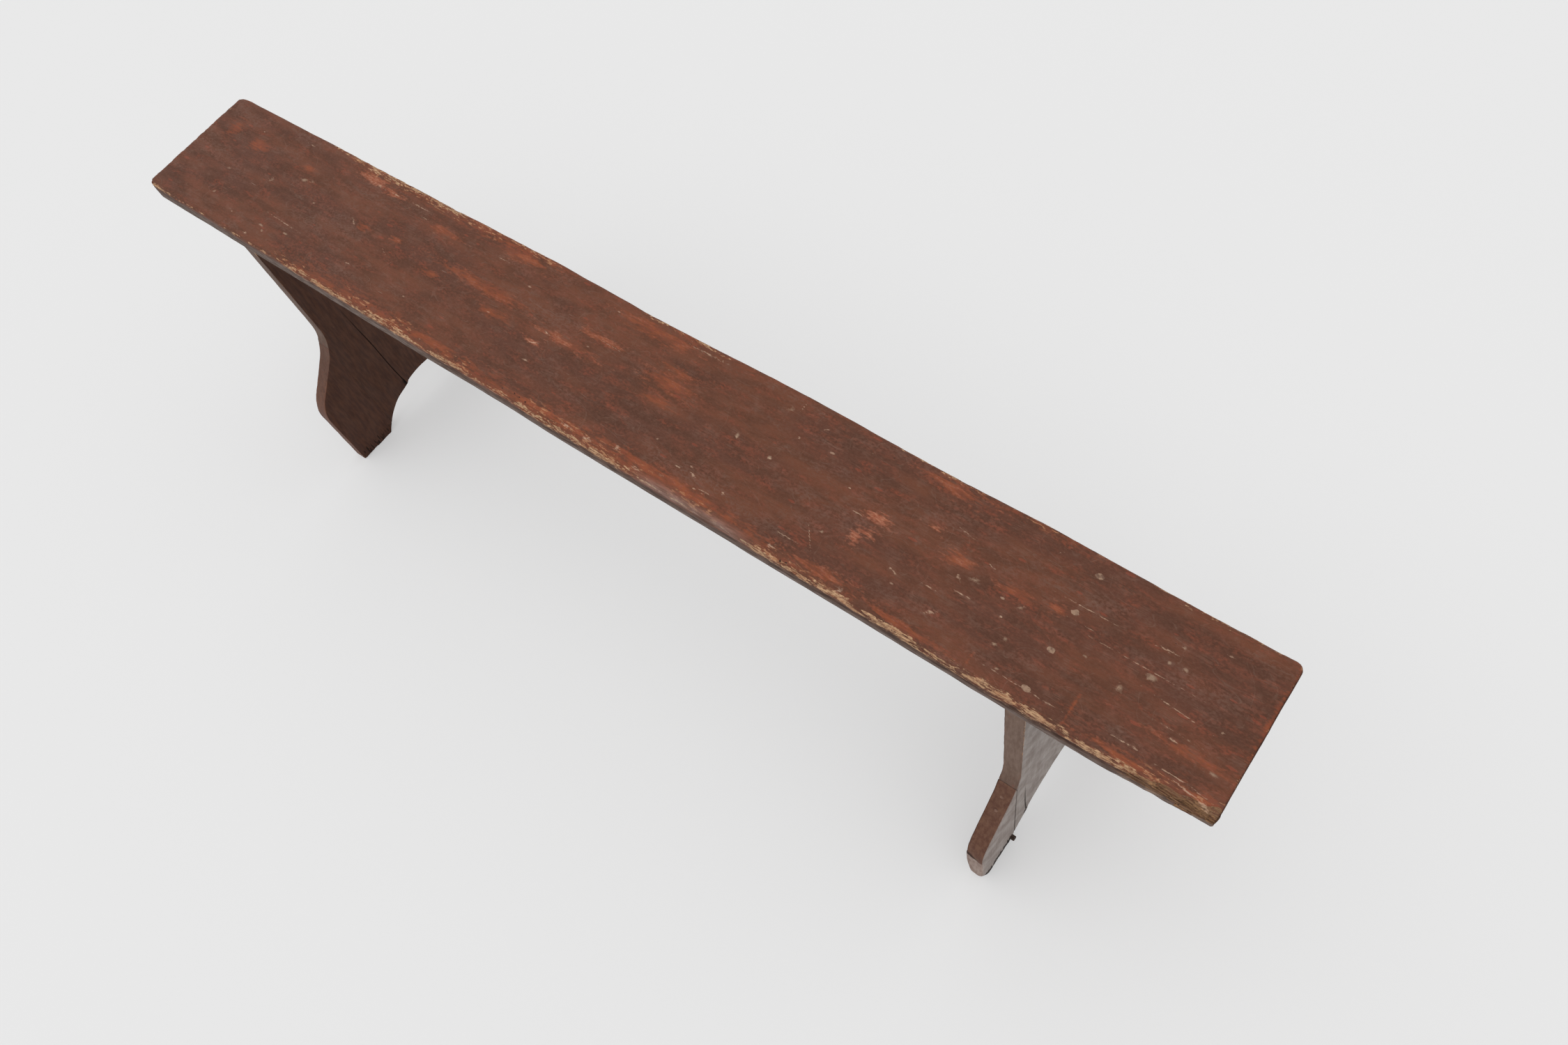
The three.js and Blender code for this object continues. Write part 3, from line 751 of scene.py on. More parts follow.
plankLow, plankHigh = (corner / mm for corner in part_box("seat_plank"))
boxRoom = 0.3  # what is left between the wood and the CAD box
plank = {
    "halfLong": plankHigh.x - boxRoom, "halfWide": 84,
    "top": plankHigh.z - boxRoom, "bottom": plankLow.z,
    "grids": [(2.7, 8, 8, 1.6), (3.5, 18, 12, 1.1), (2.6, 3, 9, 1.1)],
    "relief": {
        "Grain": ((60, 2.4, 2.4), 0.25), "Dent": ((38, 38, 38), 0.5),
        "Chip": ((16, 3.2, 3.2), 2.4), "Splinter": ((16, 3.2, 3.2), 1.8),
    },
    "reliefSeed": 4.0,
    # radii of the arrises, and what full wear adds across and down
    "endArris": 2.5, "lowArris": 1.5, "topArris": 2, "wornWide": 4.2, "wornDeep": 3.2,
    "edges": {
        "front": {
            # half widths along the bench, from the middle line to the edge
            "line": [(-720, 85.4), (-600, 84.8), (-560, 85.2), (-380, 84.6), (-200, 84.2), (-100, 82.9),
                     (0, 84), (80, 83.2), (240, 82.2), (360, 81.4), (500, 81), (600, 80.3), (640, 79),
                     (680, 77), (720, 74.6)],
            # bare wood on the arris, 0 to 1.2, then how thin the upper coat is beside it
            "bare": [(-720, 0.75), (-670, 0.7), (-640, 0.45), (-600, 0.4), (-560, 0.6), (-520, 0.5),
                     (-470, 0.65), (-420, 0.9), (-330, 0.8), (-300, 1.0), (-245, 1.0), (-215, 0.5),
                     (-190, 0.8), (-140, 0.8), (-110, 0.6), (-60, 0.8), (0, 1.0), (60, 1.0), (95, 0.85),
                     (120, 0.5), (190, 0.5), (235, 0.55), (260, 0.95), (310, 0.9), (350, 0.9), (380, 1.1),
                     (470, 1.1), (500, 1.2), (600, 1.2), (640, 1.0), (720, 0.9)],
            "coat": [(-720, 0.3), (-560, 0.3), (-470, 0.6), (-420, 1.0), (-240, 1.0), (-210, 0.6),
                     (-140, 0.9), (0, 0.9), (120, 0.9), (280, 0.75), (380, 0.45), (600, 0.45), (640, 0.9),
                     (720, 1.0)],
            # how far the two reach from the arris over the top, and the bare wood down the face
            "bareTop": 8, "bareFace": 13, "coatReach": 26, "bareMore": 0.15, "rounded": 1.0,
        },
        "back": {
            "line": [(-720, 81), (-600, 81.7), (-480, 83.1), (-300, 83), (-150, 84.4), (-90, 82.8),
                     (0, 81.2), (90, 82.4), (200, 83.9), (330, 82), (390, 81.5), (480, 82.8), (540, 81.5),
                     (620, 80.4), (720, 80.4)],
            "bare": [(-720, 0.1), (-680, 0.4), (-640, 0.3), (-560, 0.4), (-500, 0.6), (-460, 1.1),
                     (-300, 1.0), (-270, 0.5), (-190, 0.7), (-165, 0.7), (-140, 0.2), (-40, 0.1),
                     (-10, 0.6), (20, 0.7), (40, 0.4), (70, 0.8), (110, 0.6), (160, 0.2), (260, 0.3),
                     (330, 0.6), (430, 0.5), (480, 0.3), (560, 0.3), (620, 0.7), (700, 0.6), (720, 0.3)],
            "coat": [(-720, 0.3), (-500, 0.5), (-460, 1.1), (-280, 1.0), (-150, 1.0), (-120, 0.4),
                     (-20, 0.4), (60, 0.8), (160, 0.5), (300, 0.4), (480, 0.7), (560, 0.4), (720, 0.4)],
            "bareTop": 12, "bareFace": 5, "coatReach": 18, "bareMore": 0.1, "rounded": 0.7,
        },
    },
    # a dusty pink-grey stretch of the front arris, then how grey the front face is painted, with dust and a
    # painted grazing sheen
    "frontDust": [(100, 0), (130, 0.6), (230, 0.6), (255, 0)],
    "faceGrey": [(-720, 0.3), (-600, 0.5), (-250, 0.55), (-170, 0.2), (280, 0.2), (370, 0.05), (720, 0.0)],
    # how far out of square each end is, and over what length
    "leftSkew": 0.4, "rightSkew": -0.3, "skewReach": 200,
    # along and across the bench: how much wood each corner has lost
    "corners": {(-1, -1): (9, 11), (-1, 1): (24, 9), (1, 1): (9, 9), (1, -1): (3, 3)},
    # the broken corner: where it starts along the bench, its width and depth at the end, and their curves
    "breakStart": 628, "breakWide": 9, "breakDeep": 14, "breakFlare": 0.7, "breakHollow": 0.8,
    "breakRipples": [(1.4, 0.31, 0), (1.1, 0.13, 2)],  # height, radians in a millimetre, start
    "splinters": {
        "Count": 30, "Start": (638, -77.6, 444.6), "Pitch": (2.1, 0.03, -0.2), "Spread": (3, 1.3, 2.2),
        "Smallest": (8, 1.2, 0.8), "Largest": (17, 2.8, 2.0), "Lean": (0.3, 0.04, 0.05), "Seed": 5,
    },
    "sliver": {
        "Vertices": 5, "Side Segments": 3, "Radius Top": 0.12 * mm, "Radius Bottom": 0.5 * mm, "Depth": mm,
    },
    # the stretches over which the places listed above are smoothed
    "bareSmooth": 10, "coatSmooth": 15,
    # heights over the underside from which the arrises show bare wood and the ends show grime
    "bareFrom": 6, "endLineFrom": 4,
    # how far the reach of bare wood and of thin paint may shrink and grow with their strength, where the
    # thin paint's edge starts and is full in that reach, and how steeply bare wood fades
    "bareSpan": (0.3, 1.3), "coatSpan": (0.4, 1.2), "coatEdge": (1.15, 0.15), "bareCurve": 0.5,
    # how strongly: bare wood and thin paint at the ends, paint left whole on the faces, grey of dust and
    # painted sheen low on them, torn wood low in the break, and painted shade with grime in the end arrises
    "endBare": 0.55, "endCoat": 0.8, "faceWhole": 0.85, "lowGrey": 0.6, "lowBroken": 0.8, "endDark": 0.6,
    # distances in millimetres between which each of them fades in: below the top or from an arris
    "fades": {
        "endBare": (4, 0), "endCoat": (6, 0), "face": (5, 10), "lowGrey": (13, 20), "under": (22, 25),
        "endLine": (1.8, 0.6), "arrisDust": (10.4, 2.4), "broken": (0, 2), "lowFront": (6, 2),
        "breakShare": (0, 1 / 3),
    },
}


# Wears the plank's corners round, as seen from above
def wearCorners(points):
    for (signX, signY), (long, wide) in plank["corners"].items():
        middleX = plank["halfLong"] - long
        middleY = plank["halfWide"] - wide
        u = (points[:, 0] * signX - middleX) / long
        v = (points[:, 1] * signY - middleY) / wide
        lost = (u > 0) & (v > 0)
        u, v = squareToRound(u[lost], v[lost])
        points[lost, 0] = signX * (middleX + long * u)
        points[lost, 1] = signY * (middleY + wide * v)


# Long slivers of split wood along a line, joined to the piece they stand on
def splinterNodes():
    vectors = ("Start", "Pitch", "Spread", "Smallest", "Largest", "Lean")
    tree = nodeGroup("splinters", {
        "Geometry": "NodeSocketGeometry", "Count": "NodeSocketInt", "Seed": "NodeSocketInt",
        "Finish": "NodeSocketMaterial", **{label: "NodeSocketVector" for label in vectors},
    })
    given = addNode(tree, "NodeGroupInput").outputs
    line = addNode(tree, "GeometryNodeMeshLine", {
        "Count": given["Count"], "Start Location": given["Start"], "Offset": given["Pitch"],
    })
    chances = []
    for index, (least, most) in enumerate([("Spread", "Spread"), ("Smallest", "Largest"), ("Lean", "Lean")]):
        seed = addNode(tree, "ShaderNodeMath", {0: given["Seed"], 1: index * 11.0}, operation="ADD")
        low = given[least]
        if least == most:
            low = addNode(tree, "ShaderNodeVectorMath", {0: given[least], "Scale": -1.0}, operation="SCALE")
        chances.append(addNode(tree, "FunctionNodeRandomValue", {
            "Min": low, "Max": given[most], "Seed": seed,
        }, data_type="FLOAT_VECTOR"))
    spread, size, leaning = chances
    scattered = addNode(tree, "GeometryNodeSetPosition", {"Geometry": line, "Offset": spread})
    cone = addNode(tree, "GeometryNodeMeshCone", plank["sliver"])
    lain = addNode(tree, "GeometryNodeTransform", {"Geometry": cone, "Rotation": (0, math.pi / 2, 0)})
    slivers = addNode(tree, "GeometryNodeInstanceOnPoints", {
        "Points": scattered, "Instance": lain, "Rotation": leaning, "Scale": size,
    })
    real = addNode(tree, "GeometryNodeRealizeInstances", {"Geometry": slivers})
    raw = addNode(tree, "GeometryNodeStoreNamedAttribute", {
        "Geometry": real, "Name": "broken", "Value": 1.0,
    }, data_type="FLOAT", domain="POINT")
    finished = addNode(tree, "GeometryNodeSetMaterial", {"Geometry": raw, "Material": given["Finish"]})
    joined = addNode(tree, "GeometryNodeJoinGeometry")
    for part in (given["Geometry"], finished.outputs[0]):
        tree.links.new(part, joined.inputs[0])
    addNode(tree, "NodeGroupOutput", {"Geometry": joined})
    return tree


def makePlank(relief, finish):
    half, wide = plank["halfLong"], plank["halfWide"]
    top, bottom = plank["top"], plank["bottom"]
    edges, fades = plank["edges"], plank["fades"]
    longGrid, wideGrid, tallGrid = plank["grids"]
    points, quads = blockShell(
        gridLines(-half, half, longGrid), gridLines(-wide, wide, wideGrid), gridLines(bottom, top, tallGrid)
    )
    x, y, z = points.T.copy()
    below = top - z
    onTop = below < onFace
    fromEnd = np.hypot(below, half - np.abs(x))
    fromEdge = {"front": np.hypot(below, y + wide), "back": np.hypot(below, wide - y)}

    # Wear is strongest on the arris and fades over the top and down the face
    bare = coat = loss = 0 * x
    for name, edge in edges.items():
        worn = alongWood(edge["bare"], x, plank["bareSmooth"])
        thinned = alongWood(edge["coat"], x, plank["coatSmooth"])
        reach = np.where(onTop, edge["bareTop"], edge["bareFace"]) * np.clip(worn, *plank["bareSpan"])
        fading = ramp(fromEdge[name], reach, 0) ** plank["bareCurve"]
        bare = np.maximum(bare, fading * np.clip(worn + edge["bareMore"], 0, 1))
        reach = edge["coatReach"] * np.clip(thinned, *plank["coatSpan"])
        fading = ramp(fromEdge[name], reach * plank["coatEdge"][0], reach * plank["coatEdge"][1])
        coat = np.maximum(coat, fading * np.clip(thinned, 0, 1))
        loss = np.where((y < 0) == (name == "front"), worn * edge["rounded"], loss)
    bare = np.maximum(bare, plank["endBare"] * ramp(fromEnd, *fades["endBare"]))
    coat = np.maximum(coat, plank["endCoat"] * ramp(fromEnd, *fades["endCoat"]))

    upper = z > (top + bottom) / 2
    radii = np.stack([
        np.where(upper, plank["endArris"], plank["lowArris"]),
        np.where(upper, plank["topArris"] + plank["wornWide"] * loss, plank["lowArris"]),
        np.where(upper, plank["topArris"] + plank["wornDeep"] * loss, plank["lowArris"]),
    ], 1)
    points = roundOff(points, (-half, -wide, bottom), (half, wide, top), radii)
    wearCorners(points)
    across = points[:, 1] / wide
    frontMove = wide - alongWood(edges["front"]["line"], points[:, 0])
    backMove = alongWood(edges["back"]["line"], points[:, 0]) - wide
    points[:, 1] += np.where(across < 0, -across * frontMove, across * backMove)
    skew = np.where(x < 0, (1 - across) / 2 * plank["leftSkew"], (1 + across) / 2 * plank["rightSkew"])
    points[:, 0] += skew * ramp(np.abs(points[:, 0]), half - plank["skewReach"], half)

    # The front right corner is broken: its upper arris slopes down to a splintered face
    along = points[:, 0]
    share = ramp(along, plank["breakStart"], half)
    frontLine = -alongWood(edges["front"]["line"], along)
    ripple = sum(high * np.sin(along * rate + start) for high, rate, start in plank["breakRipples"])
    breakWide = plank["breakWide"] * share ** plank["breakFlare"]
    slope = np.clip((frontLine + breakWide + ripple * share - points[:, 1]) / (breakWide + 1e-6), 0, 1)
    lowered = np.minimum(points[:, 2], top - plank["breakDeep"] * share * slope ** plank["breakHollow"])
    broken = ramp(points[:, 2] - lowered, *fades["broken"])
    lowFront = ramp(points[:, 1] - frontLine, *fades["lowFront"]) * ramp(share, *fades["breakShare"])
    points[:, 2] = lowered

    side = ramp(below, *fades["face"]) * (np.abs(y) > wide - onFace)
    # the end arrises get painted shade with grime
    endLine = ramp(half - np.abs(x), *fades["endLine"]) * (z > bottom + plank["endLineFrom"])
    frontDust = alongWood(plank["frontDust"], x, plank["coatSmooth"])
    arrisDust = ramp(fromEdge["front"], *fades["arrisDust"]) * frontDust
    # the front face greys with dust and a painted grazing sheen, more so low down
    faceDustAndSheen = np.maximum(alongWood(plank["faceGrey"], x), plank["lowGrey"] * ramp(below, *fades["lowGrey"]))
    thin, pale = rubbedThin(points[:, 0], points[:, 1])
    piece = meshPiece("worn_seat_plank", points, quads, {
        "bare": bare * (z > bottom + plank["bareFrom"]),
        "coat": coat * (1 - plank["faceWhole"] * side),
        "rub": thin * onTop,
        "heart": pale * onTop,
        "side": side,
        # painted shade on the plank's lowest millimetres and its underside
        "shadeInside": ramp(below, *fades["under"]),
        "broken": np.maximum(broken, plank["lowBroken"] * lowFront),
        "crackAndShade": plank["endDark"] * endLine,
        "dust": np.maximum(side * faceDustAndSheen, arrisDust * (1 - side)),
    })
    carveRelief(piece, relief, plank["relief"], plank["reliefSeed"], finish)
    splinters = dict(plank["splinters"], Finish=finish)
    for label in ("Start", "Pitch", "Spread"):
        splinters[label] = Vector(splinters[label]) * mm
    runNodes(piece, splinterNodes(), splinters)
    settle(piece, "seat_paint", "seat_plank")


# Legs

boardLow, boardHigh = (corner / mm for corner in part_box("left_leg_board"))
wingLow, wingHigh = (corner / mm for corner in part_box("left_back_foot_wing"))
legs = {
    "topHalf": 78.5, "shoulder": 242, "lean": 43, "hollow": 84, "round": 60,
    "archHalf": 96.5, "archRise": 53.5,
    "thick": boardHigh.x - boardLow.x, "top": boardHigh.z, "joint": boardHigh.y,
    "footHalf": wingHigh.y, "tip": wingHigh.z,
    "wingWide": 60,  # the wing's grid across, before it is fitted between the joint and the outline
    "soleShadowAndGrimeClear": 0.05,
    "boardGrids": [(2.8, 3, 3, 0.75), (3, 4, 4, 0.8), (3, 4, 2, 0.8)],
    "wingGrids": [(2.2, 3, 3, 0.75), (2.6, 3, 6, 0.8), (2.6, 6, 3, 0.9)],
    "boardRelief": {"Grain": ((2.4, 2.4, 60), 0.25), "Dent": ((34, 34, 34), 0.5), "Chip": ((3, 3, 14), 1.0)},
    "wingRelief": {"Grain": ((2.4, 2.4, 60), 0.25), "Dent": ((26, 26, 26), 0.5), "Chip": ((3, 3, 12), 1.2)},
    "boardSeed": 100, "wingSeed": 70,  # a piece's place along the bench, divided by this, is its seed
    "arris": 1.4, "edgeArris": 1.8, "soleShadowAndGrimeArris": 2.2,
    "edgeCoatTop": 165,  # below it the left wings' edges show the redder coat
    # a crack in the face towards +X: its line from top to bottom, how wide and deep it opens
    "crackAndShades": {
        "left": {"top": (-39.8, 260), "bottom": (-30, 46), "wide": 0.35, "deep": 3},
        "right": {"top": (-68, 165), "bottom": (-60, 22), "wide": 0.6, "deep": 5},
    },
    # in widths of the crack: its grid lines, and how far the split, its stain and the pit at its foot go
    "crackAndShadeLines": (-3, -1, 0, 1, 3), "crackAndShadeSplit": 0.5, "crackAndShadeStain": 1.5, "crackAndShadePit": 3.2,
    "crackAndShadeWander": 0.5, "crackAndShadeBend": 0.05, "crackAndShadeReach": 9, "crackAndShadeFade": 40, "crackAndShadeMargin": 6,
    "crackAndShadeOpens": 2.2, "crackAndShadeShallow": 0.4, "stainDark": 0.6,
    # the right leg's joints have opened and its outer face is dusty with a painted pale grazing sheen; the
    # left leg's are painted over
    "sides": {
        "left": {
            "inwards": 1, "jointArris": 0.2, "boardArris": 0.2, "jointDark": 0.0,
            "edgeAtJoint": 0.35, "edgeAbove": 0.35, "wingEdge": 0.3, "wingCoat": 0.45,
            "dust": 0.0, "soleShadowAndGrime": 0.6, "seam": boardHigh.y + 0.02,
        },
        "right": {
            "inwards": -1, "jointArris": 0.6, "boardArris": 1.4, "jointDark": 0.9,
            "edgeAtJoint": 0.3, "edgeAbove": 1.0, "wingEdge": 0.9, "wingCoat": 0.0,
            "dust": 0.9, "soleShadowAndGrime": 1.0, "seam": wingLow.y,
        },
    },
    # how strong each kind of wear is at most
    "wear": {
        "arrisBare": 0.5, "footBare": 0.3, "upperBare": 0.6, "boardCoat": 0.55,
        "wingCoat": 0.5, "soleShadowAndGrimeBare": 0.35, "soleShadowAndGrimeCoat": 0.4,
    },
    # distances in millimetres between which each kind of wear fades: from none to full
    "fades": {
        "bare": (2.5, 0), "boardCoat": (4.95, 0), "wingCoat": (5, 0), "joint": (1, 0), "foot": (8, 0),
        "upperArris": (5, 0), "upperStart": (300, 340), "pit": (17.6, 9.6), "still": (6.5, 1.5),
        "nearSole": (26, 0), "soleShadowAndGrimeDark": (33, 11), "toeTip": (22, 0), "toeArris": (60, 0),
        "greyAbove": (0, 30), "stillAbove": (16, 2), "stillTip": (-14, -4), "bared": (7, 0),
    },
    # the right front toe has lost its paint and a thin layer of wood below a slanting break
    "toe": {
        "breakAtInner": 111, "breakAtOuter": 98, "tipRound": 8, "splitDeep": 2.0, "splitFade": 14,
        "arris": 0.8, "tipArris": 7.5, "ripple": 0.6, "rippleBend": 0.7, "slantReach": 24,
        "fineGrid": (6, 5, 1.0),  # closer grid lines below and above the break, and their step
        "wedge": (1.4, 0.25),  # how fast the split thins towards the outer face, and its least share
        # the step at the break and its painted shadow line, which starts at a share of the half thickness
        "stepTall": 0.8, "shadowHalf": 0.7, "shadowBelow": 0.4, "shadowFrom": 0.75, "shadowFade": 8,
        "baredFace": 0.8,
    },
}
lean = math.radians(legs["lean"])
legs["slopeTop"] = legs["shoulder"] - legs["hollow"] * math.sin(lean)
legs["slopeTopHalf"] = legs["topHalf"] + legs["hollow"] * (1 - math.cos(lean))
legs["roundTopHalf"] = legs["footHalf"] - legs["round"] * (1 - math.cos(lean))
legs["roundTop"] = legs["slopeTop"] - (legs["roundTopHalf"] - legs["slopeTopHalf"]) / math.tan(lean)
legs["toeTop"] = legs["roundTop"] - legs["round"] * math.sin(lean)
archRadius = (legs["archHalf"] ** 2 + legs["archRise"] ** 2) / (2 * legs["archRise"])


def archHeight(y):
    return legs["archRise"] - archRadius + np.sqrt(np.maximum(archRadius ** 2 - y ** 2, 0))


def archHalfAt(z):
    return np.sqrt(np.maximum(archRadius ** 2 - (z - legs["archRise"] + archRadius) ** 2, 0))


# Half width of the leg at each height: upright, hollow sweep, straight slope, round, upright toe
def legHalf(z):
    hollow, rounded = legs["hollow"], legs["round"]
    return np.select(
        [z >= legs["shoulder"], z >= legs["slopeTop"], z >= legs["roundTop"], z >= legs["toeTop"]],
        [
            np.full_like(z, legs["topHalf"]),
            legs["topHalf"] + hollow - np.sqrt(np.maximum(hollow ** 2 - (legs["shoulder"] - z) ** 2, 0)),
            legs["slopeTopHalf"] + (legs["slopeTop"] - z) * math.tan(lean),
            legs["footHalf"] - rounded + np.sqrt(np.maximum(rounded ** 2 - (z - legs["toeTop"]) ** 2, 0)),
        ],
        legs["footHalf"],
    )


# The middle of a leg's thickness, along the bench
def legCentre(side):
    return sum(corner.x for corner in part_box(f"{side}_leg_board")) / 2 / mm


def makeLegBoard(side, relief, finish):
    half, wide, tall, tip = legs["thick"] / 2, legs["topHalf"], legs["top"], legs["tip"]
    own, fades, wear, crackAndShade = legs["sides"][side], legs["fades"], legs["wear"], legs["crackAndShades"][side]
    (topY, topZ), (lowY, lowZ) = crackAndShade["top"], crackAndShade["bottom"]
    middle = (topY + lowY) / 2
    thickGrid, wideGrid, tallGrid = legs["boardGrids"]
    points, quads = blockShell(
        gridLines(-half, half, thickGrid),
        gridLines(-wide, wide, wideGrid, middle + crackAndShade["wide"] * np.array(legs["crackAndShadeLines"])),
        gridLines(0, tall, tallGrid),
    )
    x, y, z = points.T.copy()
    arris = np.where(z < tip, own["boardArris"], legs["arris"])
    points = roundOff(points, (-half, -wide, 0), (half, wide, tall), np.stack([arris] * 3, 1))
    foot = archHeight(points[:, 1] * legs["joint"] / wide)
    points[:, 2] = foot + points[:, 2] / tall * (tall - foot)
    height = points[:, 2]
    spread = np.minimum(legHalf(height), legs["joint"]) / wide
    points[:, 1] *= spread

    # The crack wanders off the grid's own line and closes towards its upper end
    onOuter = x > half - onFace
    down = ramp(height, topZ, lowZ)
    wander = topY + (lowY - topY) * down + legs["crackAndShadeWander"] * np.sin(height * legs["crackAndShadeBend"])
    nearby = ramp(height, topZ + legs["crackAndShadeFade"], topZ) * ramp(wide - np.abs(y), 0, legs["crackAndShadeMargin"])
    nearby = nearby * np.exp(-((y - middle) / legs["crackAndShadeReach"]) ** 2) * (np.abs(x) > half - onFace)
    points[:, 1] += (wander - middle * spread) * nearby
    opened = np.clip(down * legs["crackAndShadeOpens"], 0, 1) * onOuter
    fromCrack = np.abs(y - middle) / crackAndShade["wide"]
    inCrack = fromCrack < legs["crackAndShadeSplit"]
    points[:, 0] -= crackAndShade["deep"] * opened * inCrack * (1 - (1 - down) * (1 - legs["crackAndShadeShallow"]))
    stain = np.where(inCrack, 1, legs["stainDark"] * (fromCrack < legs["crackAndShadeStain"]))
    pit = ramp(height - foot, *fades["pit"]) * (fromCrack < legs["crackAndShadePit"])

    fromArris = np.hypot(half - np.abs(x), wide - np.abs(y))
    upperArris = ramp(np.hypot(half - x, wide + y), *fades["upperArris"]) * ramp(height, *fades["upperStart"])
    above = height > tip
    risen = ramp(height - tip, *fades["greyAbove"])
    edgeGrey = own["edgeAtJoint"] + (own["edgeAbove"] - own["edgeAtJoint"]) * risen
    joint = ramp(fromArris, *fades["joint"]) * (height < tip) * own["jointDark"]
    still = ramp(wide - np.abs(y), *fades["still"]) * ramp(height - tip, *fades["stillAbove"])
    arrisBare = wear["arrisBare"] * ramp(fromArris, *fades["bare"]) * above
    footBare = wear["footBare"] * ramp(z, *fades["foot"])
    fields = {
        "bare": arrisBare + footBare + wear["upperBare"] * upperArris,
        "coat": wear["boardCoat"] * ramp(fromArris, *fades["boardCoat"]) * above,
        "side": ramp(np.abs(y), wide - 1, wide) * edgeGrey,
        # painted shade on the face that turns in under the seat
        "shadeInside": ramp(own["inwards"] * x, half - 1, half),
        # dust with a painted grazing sheen on the right leg's outer face
        "dust": onOuter * own["dust"],
        "crackAndShade": np.maximum(joint, opened * np.maximum(stain, pit)),
        "still": still,
    }
    centre = legCentre(side)
    points[:, 0] += centre
    piece = meshPiece(f"worn_{side}_leg_board", points, quads, fields)
    carveRelief(piece, relief, legs["boardRelief"], centre / legs["boardSeed"], finish)
    settle(piece, "leg_paint", f"{side}_leg_board")


def makeWing(side, end, relief, finish):
    half, wide, tall = legs["thick"] / 2, legs["wingWide"], legs["tip"]
    own, fades, wear, toe = legs["sides"][side], legs["fades"], legs["wear"], legs["toe"]
    isFront = end == "front"
    isWorn = isFront and side == "right"
    fineBelow, fineAbove, fineStep = toe["fineGrid"]
    breakLines = ()
    if isWorn:
        breakLines = np.arange(toe["breakAtOuter"] - fineBelow, toe["breakAtInner"] + fineAbove, fineStep)
    thickGrid, wideGrid, tallGrid = legs["wingGrids"]
    points, quads = blockShell(
        gridLines(-half, half, thickGrid),
        gridLines(0, wide, wideGrid),
        gridLines(0, tall, tallGrid, breakLines),
    )
    x, y, z = points.T.copy()
    jointSide = y < wide / 2
    outerArris = legs["edgeArris"] + isWorn * (toe["arris"] + toe["tipArris"] * ramp(z, *fades["toeArris"]))
    radii = np.stack([
        np.where(jointSide, own["jointArris"], outerArris),
        np.where(jointSide, own["jointArris"], outerArris),
        np.where(jointSide | (z > tall / 2), own["jointArris"], legs["soleShadowAndGrimeArris"]),
    ], 1)
    points = roundOff(points, (-half, 0, 0), (half, wide, tall), radii)
    outwards = -1 if isFront else 1  # a front wing is the back one turned half round
    acrossLeg = x * outwards
    height = points[:, 2]
    slant = line = 0 * x
    if isWorn:
        slant = (toe["breakAtOuter"] - toe["breakAtInner"]) * acrossLeg / (2 * half)
        slant = slant + toe["ripple"] * np.sin(acrossLeg * toe["rippleBend"])
        middle = (toe["breakAtInner"] + toe["breakAtOuter"]) / 2
        line = middle + slant
        height += slant * np.exp(-((z - middle) / toe["slantReach"]) ** 2)
    inner = np.where(height < archHeight(own["seam"]), archHalfAt(height), own["seam"])
    outer = legHalf(height)
    lost = 0 * x
    if isWorn:
        lost = ramp(line - height, 0, toe["stepTall"])
        thinning, least = toe["wedge"]
        wedge = np.clip((half - acrossLeg) / (2 * half) * thinning, least, 1)
        behind = wedge * (1 - lost) * np.exp(-np.maximum(height - line, 0) / toe["splitFade"])
        outer = outer - toe["splitDeep"] * behind - toe["tipRound"] * ramp(height, *fades["toeTip"]) ** 2
    points[:, 1] = inner + points[:, 1] / wide * (outer - inner)
    points[:, 2] = np.maximum(height, legs["soleShadowAndGrimeClear"])

    onEdge = y > wide - onFace
    # painted shadow along the foot of the step at the toe's break
    breakLine = 0 * x
    if isWorn:
        belowLine = line - toe["shadowBelow"] - height
        breakLine = np.exp(-(belowLine / toe["shadowHalf"]) ** 2)
        breakLine = breakLine * ramp(toe["shadowFrom"] * half - acrossLeg, 0, toe["shadowFade"])
    fromArris = np.hypot(half - np.abs(x), wide - y)
    fromJoint = np.hypot(half - np.abs(x), y)
    nearSole = ramp(z, *fades["nearSole"])
    arrisCoat = wear["wingCoat"] * ramp(fromArris, *fades["wingCoat"])
    edgeCoat = own["wingCoat"] * onEdge * (z < legs["edgeCoatTop"])
    fields = {
        "bare": wear["arrisBare"] * ramp(fromArris, *fades["bare"]) + wear["soleShadowAndGrimeBare"] * nearSole,
        "coat": arrisCoat + wear["soleShadowAndGrimeCoat"] * nearSole + edgeCoat,
        "side": onEdge * own["wingEdge"],
        # painted shade on the foot's inner face, under the bench
        "shadeInside": ramp(own["inwards"] * acrossLeg, half - 1, half),
        # dust with a painted grazing sheen on the right foot's outer face
        "dust": (acrossLeg > half - onFace) * own["dust"],
        "weathered": np.clip(lost * (onEdge + toe["baredFace"] * ramp(wide - y, *fades["bared"])), 0, 1),
        # dark joints, and the painted shadow line at the toe's step
        "crackAndShade": np.maximum(ramp(fromJoint, *fades["joint"]) * own["jointDark"], breakLine * onEdge),
        # a painted contact shadow with grime along the sole
        "soleShadowAndGrime": ramp(z, *fades["soleShadowAndGrimeDark"]) * own["soleShadowAndGrime"] * (1 - onEdge),
        "still": np.maximum(ramp(fromJoint, *fades["still"]), ramp(height - tall, *fades["stillTip"])),
    }
    centre = legCentre(side)
    points[:, 0] += centre * outwards
    piece = meshPiece(f"worn_{side}_{end}_foot_wing", points, quads, fields, turned=isFront)
    carveRelief(piece, relief, legs["wingRelief"], centre / legs["wingSeed"] + outwards, finish)
    settle(piece, "wing_paint", f"{side}_{end}_foot_wing")


# Nails

